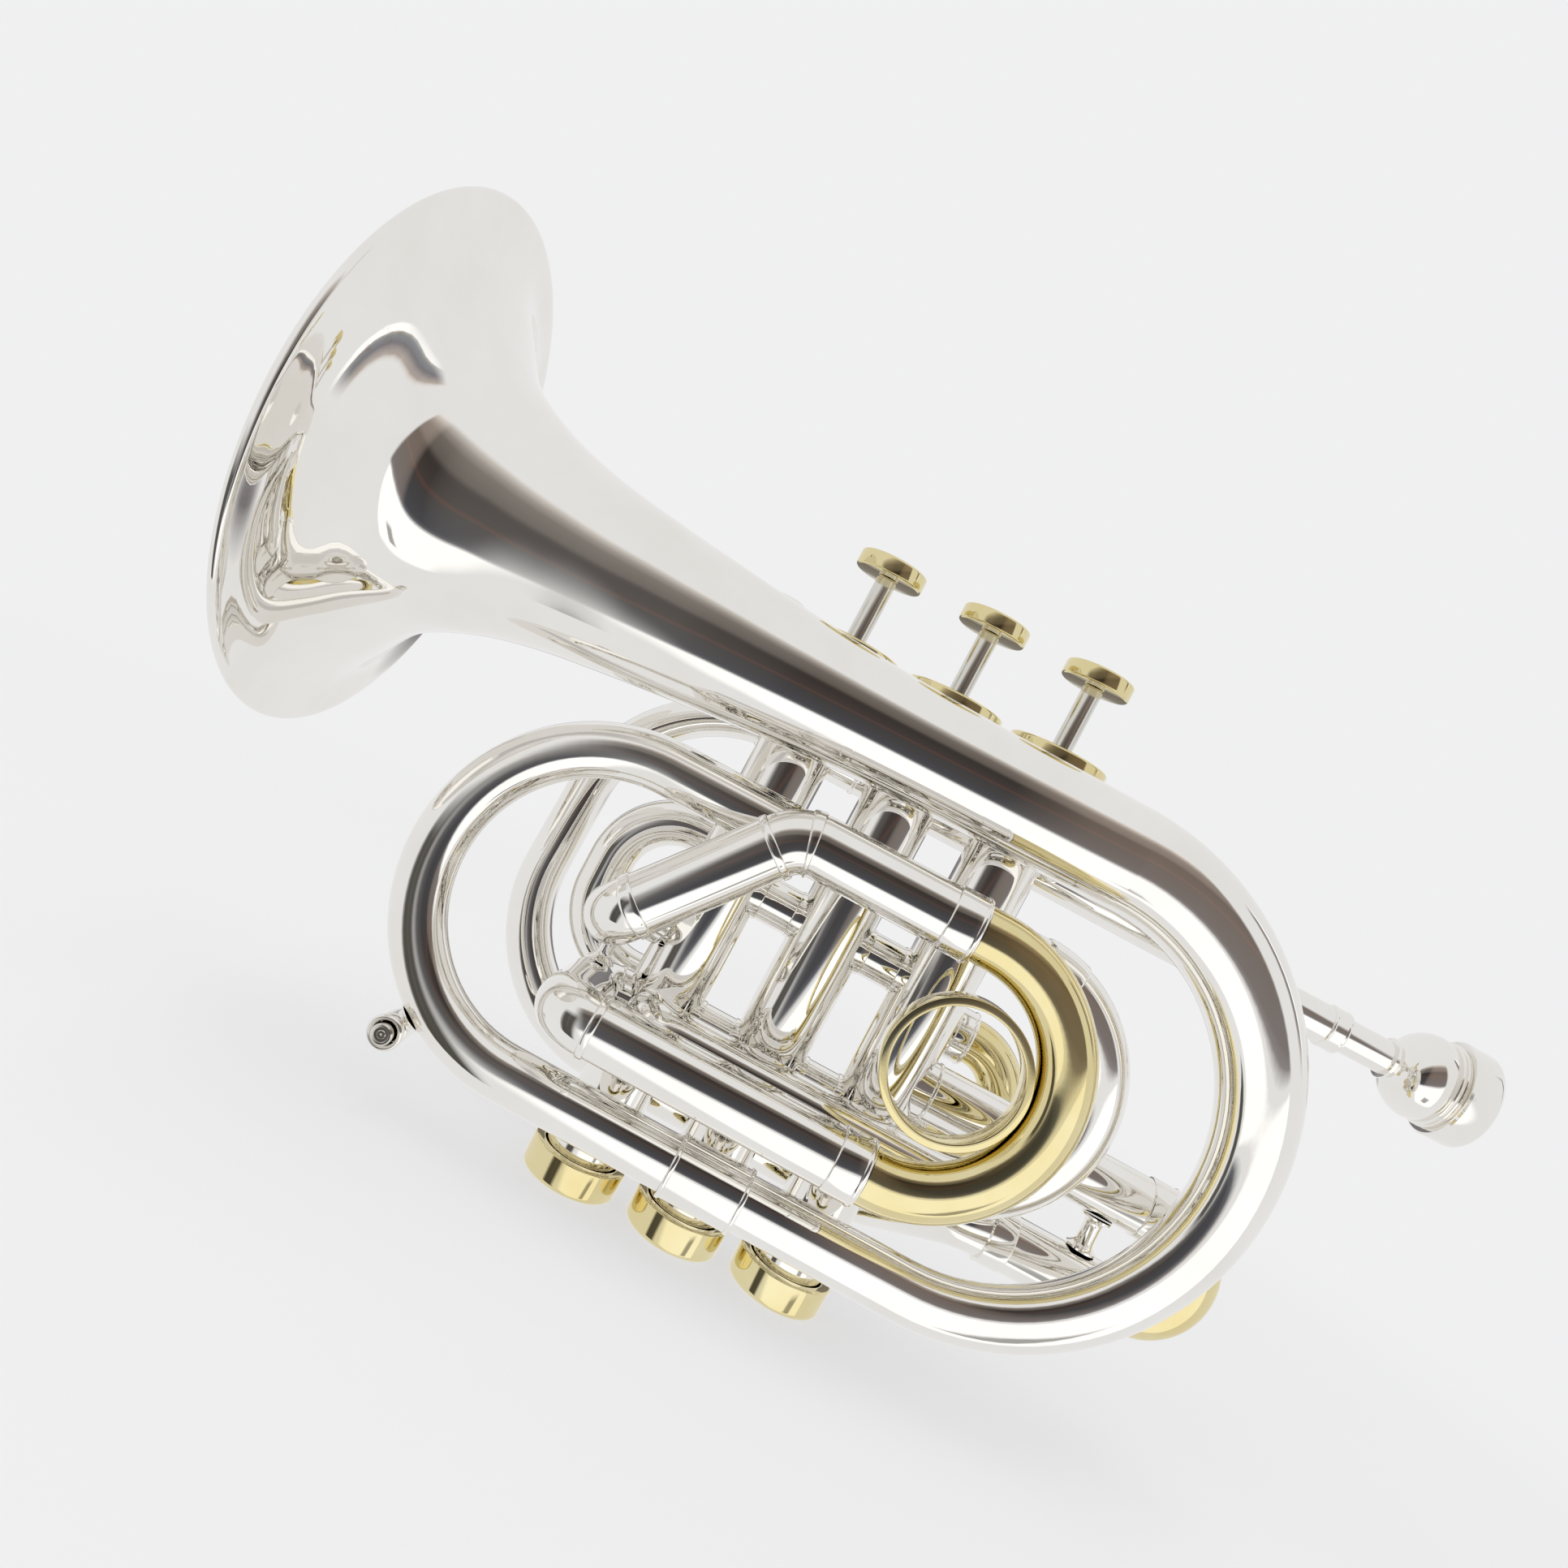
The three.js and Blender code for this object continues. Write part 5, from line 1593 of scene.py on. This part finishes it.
@dataclass
class Fittings:
    """Hook for the little finger, and the braces between leadpipe and bell."""

    pipe_side: float = 31
    pipe_height: float = 119.8
    pipe_radius: float = 5
    pipe_bite: float = 0.2
    hook_radius: float = 1.7
    hook_x: float = -40
    hook_height: float = 27.5
    hook_reach: float = 20
    hook_bend: float = 9
    hook_drop: float = 13
    hook_foot: Band = Band(-0.4, 1.3, 1.1)
    tip_back: float = 1.4
    tip_width: float = 3.2
    tip_rise: float = 0.55
    brace_bite: float = 0.25

    def build(self, bench: Bench) -> None:
        """Makes the hook and the braces.

        Args:
            bench: Bench that finishes them.
        """
        base = self.pipe_height + self.pipe_radius - self.pipe_bite
        top = base + self.hook_height
        tip = self.hook_x - self.hook_reach
        run = Route([
            (self.hook_x, self.pipe_side, base), (self.hook_x, self.pipe_side, top),
            (tip, self.pipe_side, top), (tip, self.pipe_side, top - self.hook_drop),
        ], [self.hook_bend, self.hook_bend])
        rings = [self.hook_foot, wire(run.length() - self.tip_back, self.tip_width, self.tip_rise)]
        shape = bench.tube(run, self.hook_radius, None, rings, sides=HOOK_SIDES)
        bench.finish(shape, "little_finger_hook", Slot.SILVER)
        for name in ("bell_brace_front", "bell_brace_rear"):
            low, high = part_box(name)
            middle = (low + high) / 2 / MM
            length = (high.y - low.y) / MM + 2 * self.brace_bite
            place = Matrix.Translation((middle.x, low.y / MM - self.brace_bite, middle.z))
            place = place @ Matrix.Rotation(-math.pi / 2, 4, "X")
            bench.finish(brace(bench, length), name, Slot.SILVER, place=place)


# Studio


@dataclass(frozen=True)
class Card:
    """Card that the metal reflects, unseen by the camera and casting no shadow.

    Its shades run up the card, each with how much of it covers the room behind.
    """

    name: str
    centre: Point
    right: Point
    up: Point
    width: float
    height: float
    shades: Sequence[Stop]
    strength: float = 1.0
    fade: tuple[float, float] = (0.1, 0.1)
    lift: Sequence[Stop] = ()
    lift_way: tuple[float, float] = (1.0, 0.0)
    deep_cover: float = 1.0
    streaks: float = 0.0
    streak_colour: str = "#7A4F3E"
    streak_size: tuple[float, float] = (260.0, 3.2)
    streak_detail: float = 3.0
    streak_roughness: float = 0.65
    streak_range: tuple[float, float] = (0.52, 0.68)

    def build(self) -> bpy.types.Object:
        """Hangs the card.

        Returns:
            The card.
        """
        shape = bmesh.new()
        shape.loops.layers.uv.new("card")
        bmesh.ops.create_grid(shape, x_segments=1, y_segments=1, size=1, calc_uvs=True)
        turn = turned_to(Vector(self.right).normalized(), Vector(self.up).normalized())
        size = Matrix.Diagonal((self.width / 2 * MM, self.height / 2 * MM, 1, 1))
        place = Matrix.Translation(Vector(self.centre) * MM) @ turn @ size
        bmesh.ops.transform(shape, matrix=place, verts=shape.verts)
        card = add_object(shape, self.name, self.material())
        card.visible_camera = False
        card.visible_diffuse = False
        card.visible_transmission = False
        card.visible_shadow = False
        return card

    def material(self) -> bpy.types.Material:
        """Shades of the card, which fade out at its sides.

        Returns:
            The card's material.
        """
        material = bpy.data.materials.new(self.name)
        tree = blank_tree(material)
        place = add_node(tree, "ShaderNodeUVMap", {"uv_map": "card"}).outputs["UV"]
        axes = add_node(tree, "ShaderNodeSeparateXYZ", {}, {"Vector": place}).outputs
        shade = add_node(tree, "ShaderNodeValToRGB", {}, {"Fac": axes["Y"]}, self.shades)
        colour, cover = shade.outputs["Color"], shade.outputs["Alpha"]
        depth = add_node(tree, "ShaderNodeLightPath").outputs["Ray Depth"]
        for way, start, end, least, most, source in (
            ("SMOOTHSTEP", 0.0, self.fade[0], 0.0, 1.0, axes["X"]),
            ("SMOOTHSTEP", 1.0, 1 - self.fade[1], 0.0, 1.0, axes["X"]),
            ("LINEAR", 1.0, 2.0, 1.0, self.deep_cover, depth),
        ):
            share = add_node(
                tree, "ShaderNodeMapRange",
                {"interpolation_type": way, "From Min": start, "From Max": end, "To Min": least,
                 "To Max": most},
                {"Value": source}).outputs["Result"]
            cover = add_node(
                tree, "ShaderNodeMath", {"operation": "MULTIPLY"}, {0: cover, 1: share}).outputs[0]
        if self.streaks:
            along, across = self.streak_size
            drawn = add_node(
                tree, "ShaderNodeMapping",
                {"Scale": (self.width / along, self.height / across, 1)}, {"Vector": place})
            noise = add_node(
                tree, "ShaderNodeTexNoise",
                {"Scale": 1.0, "Detail": self.streak_detail, "Roughness": self.streak_roughness},
                {"Vector": drawn.outputs["Vector"]})
            start, end = self.streak_range
            share = add_node(
                tree, "ShaderNodeMapRange",
                {"From Min": start, "From Max": end, "To Min": 0.0, "To Max": self.streaks},
                {"Value": noise.outputs["Fac"]})
            colour = add_node(
                tree, "ShaderNodeMix", {"data_type": "RGBA", 7: linear(self.streak_colour)},
                {0: share.outputs["Result"], 6: colour}).outputs[2]
        if self.lift:
            where = add_node(
                tree, "ShaderNodeVectorMath",
                {"operation": "DOT_PRODUCT", 1: (*self.lift_way, 0)}, {0: place}).outputs["Value"]
            added = add_node(tree, "ShaderNodeValToRGB", {}, {"Fac": where}, self.lift)
            colour = add_node(
                tree, "ShaderNodeMix", {"data_type": "RGBA", "blend_type": "ADD", 0: 1.0},
                {6: colour, 7: added.outputs["Color"]}).outputs[2]
        clear = add_node(tree, "ShaderNodeBsdfTransparent")
        glow = add_node(tree, "ShaderNodeEmission", {"Strength": self.strength}, {"Color": colour})
        mix = add_node(
            tree, "ShaderNodeMixShader", {}, {0: cover, 1: clear.outputs[0], 2: glow.outputs[0]})
        add_node(tree, "ShaderNodeOutputMaterial", {}, {"Surface": mix.outputs[0]})
        return material


@dataclass
class Studio:
    """Camera of the photograph, the pale floor, soft lamps and the cards in the reflections."""

    camera_place: Point = (-19.86, -274.12, 108.37)
    camera_right: Point = (0.88116, 0.02197, 0.47231)
    camera_up: Point = (-0.47215, -0.01205, 0.88143)
    focal_pixels: float = 1400.0
    frame_pixels: float = 1932.0
    sensor: float = 36.0
    backdrop: str = "#F0F0F1"
    room: str = "#DDDDDD"
    floor_colour: str = "#E4E4E4"
    shadow_start: float = 260.0
    shadow_end: float = 620.0
    shadow_share: float = 0.3
    cards_side: float = -150.0
    cards_lean: float = -7.6
    floor_half: float = 4000.0
    floor_drop: float = 0.2
    clip_start: float = 0.01
    lamps: Sequence[tuple[str, Point, float, float]] = (
        ("overhead_lamp", (-250, -250, 1200), 900, 6.0), ("left_lamp", (-900, -900, 700), 700, 3.0))

    def camera(self) -> None:
        """Sets up the camera."""
        data = bpy.data.cameras.new("photo_camera")
        data.sensor_width = self.sensor
        data.lens = self.focal_pixels / self.frame_pixels * self.sensor
        data.clip_start = self.clip_start
        camera = bpy.data.objects.new("photo_camera", data)
        turn = turned_to(Vector(self.camera_right), Vector(self.camera_up))
        camera.matrix_world = Matrix.Translation(Vector(self.camera_place) * MM) @ turn
        bpy.context.scene.collection.objects.link(camera)
        bpy.context.scene.camera = camera

    def world(self) -> None:
        """Lights the room evenly, and shows the camera and the metal a pale backdrop."""
        world = bpy.data.worlds.new("studio")
        bpy.context.scene.world = world
        tree = blank_tree(world)
        light, pale = (
            add_node(tree, "ShaderNodeBackground", {"Color": linear(colour), "Strength": 1.0})
            for colour in (self.room, self.backdrop))
        mix = add_node(
            tree, "ShaderNodeMixShader", {},
            {0: self.seen(tree), 1: light.outputs[0], 2: pale.outputs[0]})
        add_node(tree, "ShaderNodeOutputWorld", {}, {"Surface": mix.outputs[0]})

    def seen(self, tree: bpy.types.NodeTree) -> bpy.types.NodeSocket:
        """Socket that is one for what the camera sees, mirrored or through glass too.

        Args:
            tree: Tree that gets the nodes.

        Returns:
            The socket.
        """
        rays = add_node(tree, "ShaderNodeLightPath")
        found = rays.outputs["Is Camera Ray"]
        for ray in ("Is Glossy Ray", "Is Transmission Ray"):
            found = add_node(
                tree, "ShaderNodeMath", {"operation": "MAXIMUM"},
                {0: found, 1: rays.outputs[ray]}).outputs[0]
        return found

    def floor(self) -> None:
        """Lays the pale floor, which keeps the shadow and turns into the backdrop further out.

        The metal mirrors the backdrop in its place, which has the same tone, so that the cards
        reach below it.
        """
        shape = bmesh.new()
        bmesh.ops.create_grid(shape, x_segments=1, y_segments=1, size=self.floor_half * MM)
        bmesh.ops.translate(shape, vec=(0, 0, -self.floor_drop * MM), verts=shape.verts)
        material = bpy.data.materials.new("pale_floor")
        tree = blank_tree(material)
        place = add_node(tree, "ShaderNodeTexCoord").outputs["Object"]
        away = add_node(tree, "ShaderNodeVectorMath", {"operation": "LENGTH"}, {0: place})
        share = add_node(
            tree, "ShaderNodeMapRange",
            {"interpolation_type": "SMOOTHSTEP", "From Min": self.shadow_start * MM,
             "From Max": self.shadow_end * MM, "To Min": 1 - self.shadow_share, "To Max": 1.0},
            {"Value": away.outputs["Value"]})
        share = add_node(
            tree, "ShaderNodeMath", {"operation": "MULTIPLY"},
            {0: self.seen(tree), 1: share.outputs["Result"]})
        matt = add_node(tree, "ShaderNodeBsdfDiffuse", {"Color": linear(self.floor_colour)})
        pale = add_node(
            tree, "ShaderNodeEmission", {"Color": linear(self.backdrop), "Strength": 1.0})
        mix = add_node(
            tree, "ShaderNodeMixShader", {},
            {0: share.outputs[0], 1: matt.outputs[0], 2: pale.outputs[0]})
        add_node(tree, "ShaderNodeOutputMaterial", {}, {"Surface": mix.outputs[0]})
        floor = add_object(shape, "floor", material)
        floor.visible_glossy = False

    def lamp(self, name: str, place: Point, size: float, power: float) -> None:
        """Hangs a square soft lamp that points at the trumpet, and that the metal doesn't mirror.

        Args:
            name: Name of the lamp.
            place: Where it hangs, in millimetres.
            size: Side of its square, in millimetres.
            power: Power in watts.
        """
        data = bpy.data.lights.new(name, "AREA")
        data.size = size * MM
        data.energy = power
        lamp = bpy.data.objects.new(name, data)
        turn = (-Vector(place)).to_track_quat("-Z", "Y").to_matrix().to_4x4()
        lamp.matrix_world = Matrix.Translation(Vector(place) * MM) @ turn
        lamp.visible_glossy = False
        bpy.context.scene.collection.objects.link(lamp)

    def in_front(self, across: float, up: float, behind: float = 0.0) -> Point:
        """Place on the cards' plane by the picture's own directions.

        Args:
            across: Millimetres to the picture's right.
            up: Millimetres up the picture.
            behind: Millimetres behind the plane, on the camera's side.

        Returns:
            The place.
        """
        right, rise = self.camera_right, self.camera_up
        size = math.hypot(right[0], right[2])
        x, z = ((across * right[axis] + up * rise[axis]) / size for axis in (0, 2))
        return x, self.cards_side - behind, z

    def cards(self) -> list[Card]:
        """Cards that give the metal its dark and bright stripes.

        Returns:
            The dark cloths and the bright board beside the camera, the window that the bell's flare
            mirrors and a grey board behind.
        """
        right, up = Vector(self.camera_right), Vector(self.camera_up)
        lean = math.tan(math.radians(self.cards_lean))
        right, up = tuple(right + up * lean), tuple(up - right * lean)
        return [
            Card(
                "near_cloth", self.in_front(127, 124), right, up, 406, 222,
                [(0.0, "#6A6C72", 0.0), (0.045, "#66686E"), (0.09, "#4D4E53"), (0.22, "#49484B"),
                 (0.35, "#474444"), (0.38, "#59463F"), (0.41, "#463F3D"), (0.54, "#3E3936"),
                 (0.57, "#443E3B"), (0.62, "#67605B"), (0.76, "#77706A"), (0.84, "#9C958F"),
                 (0.93, "#CBC6C1"), (1.0, "#DAD6D2", 0.0)],
                fade=(0.16, 0.1), deep_cover=0.15,
                lift=[(0.0, "#484848"), (0.1, "#403F3F"), (0.2, "#000000"), (0.35, "#000000"),
                      (0.42, "#5E544E"), (0.5, "#6A5F58"), (1.0, "#6A625D")],
                lift_way=(1.0, -0.217)),
            Card(
                "near_board", self.in_front(84, -190, 3), right, up, 388, 400,
                [(0.0, "#FFFFFF", 0.0), (0.2, "#FFFFFF"), (0.99, "#FFFFFF"), (1.0, "#FFFFFF", 0.0)],
                strength=1.22, fade=(0.1, 0.05)),
            Card(
                "left_cloth", (-140, self.cards_side - 1, -30), (1, 0, 0), (0, 0, 1), 136, 270,
                [(0.0, "#4E4B46", 0.0), (0.06, "#4E4B46"), (0.85, "#5A5855"),
                 (1.0, "#6A6763", 0.0)],
                fade=(0.3, 0.25), streaks=0.6, streak_colour="#B5B1AA", streak_size=(22.0, 900.0),
                deep_cover=0.3),
            Card(
                "right_cloth", (165, self.cards_side - 1, -100), (1, 0, 0), (0, 0, 1), 90, 130,
                [(0.0, "#5A5750", 0.0), (0.15, "#5A5750", 0.7), (0.8, "#5A5750", 0.7),
                 (1.0, "#6A6763", 0.0)],
                fade=(0.3, 0.3), deep_cover=0.3),
            Card(
                "window_past_the_bell", (600, 6, 472), (0, 0, 1), (0, 1, 0), 516, 150,
                [(0.0, "#DDD6D0", 0.0), (0.15, "#A99F98", 0.9), (0.4, "#78767C"), (0.6, "#878A8D"),
                 (0.68, "#A8A49F"), (0.72, "#FFFFFF"), (0.92, "#FFFFFF"), (1.0, "#FFFFFF", 0.0)],
                strength=1.2, fade=(0.25, 0.2), streaks=0.3, streak_size=(90.0, 60.0)),
            Card(
                "far_board", (0, 260, 110), (-1, 0, 0), (0, 0, 1), 460, 120,
                [(0.0, "#8A888A", 0.0), (0.3, "#7C7A7C"), (0.7, "#8A888A"), (1.0, "#9A9898", 0.0)],
                fade=(0.2, 0.2), streaks=0.3, deep_cover=0.3),
        ]

    def build(self) -> None:
        """Sets up the whole studio."""
        bpy.context.scene.view_settings.view_transform = "Standard"
        self.camera()
        self.world()
        self.floor()
        for lamp in self.lamps:
            self.lamp(*lamp)
        for card in self.cards():
            card.build()


def main() -> None:
    """Builds the trumpet's looks in order and reports each piece."""
    logging.basicConfig(level=logging.INFO, format="%(name)s: %(message)s")
    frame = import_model()
    Studio().build()
    log.info("studio is set")
    bench = Bench(frame["nodes"])
    for assembly in (
        ValveBlock(), Bell(), LeftBows(), ThirdSlide(), Crossover(), TuningSlide(), Leadpipe(),
        Mouthpiece(), FirstSlide(), SecondSlide(), WaterKey(), Fittings(),
    ):
        before = len(bench.made)
        assembly.build(bench)
        for piece in bench.made[before:]:
            triangles = sum(len(polygon.vertices) - 2 for polygon in piece.data.polygons)
            log.info("%s: %s, %d triangles", type(assembly).__name__, piece.name, triangles)


if __name__ == "__main__":
    main()
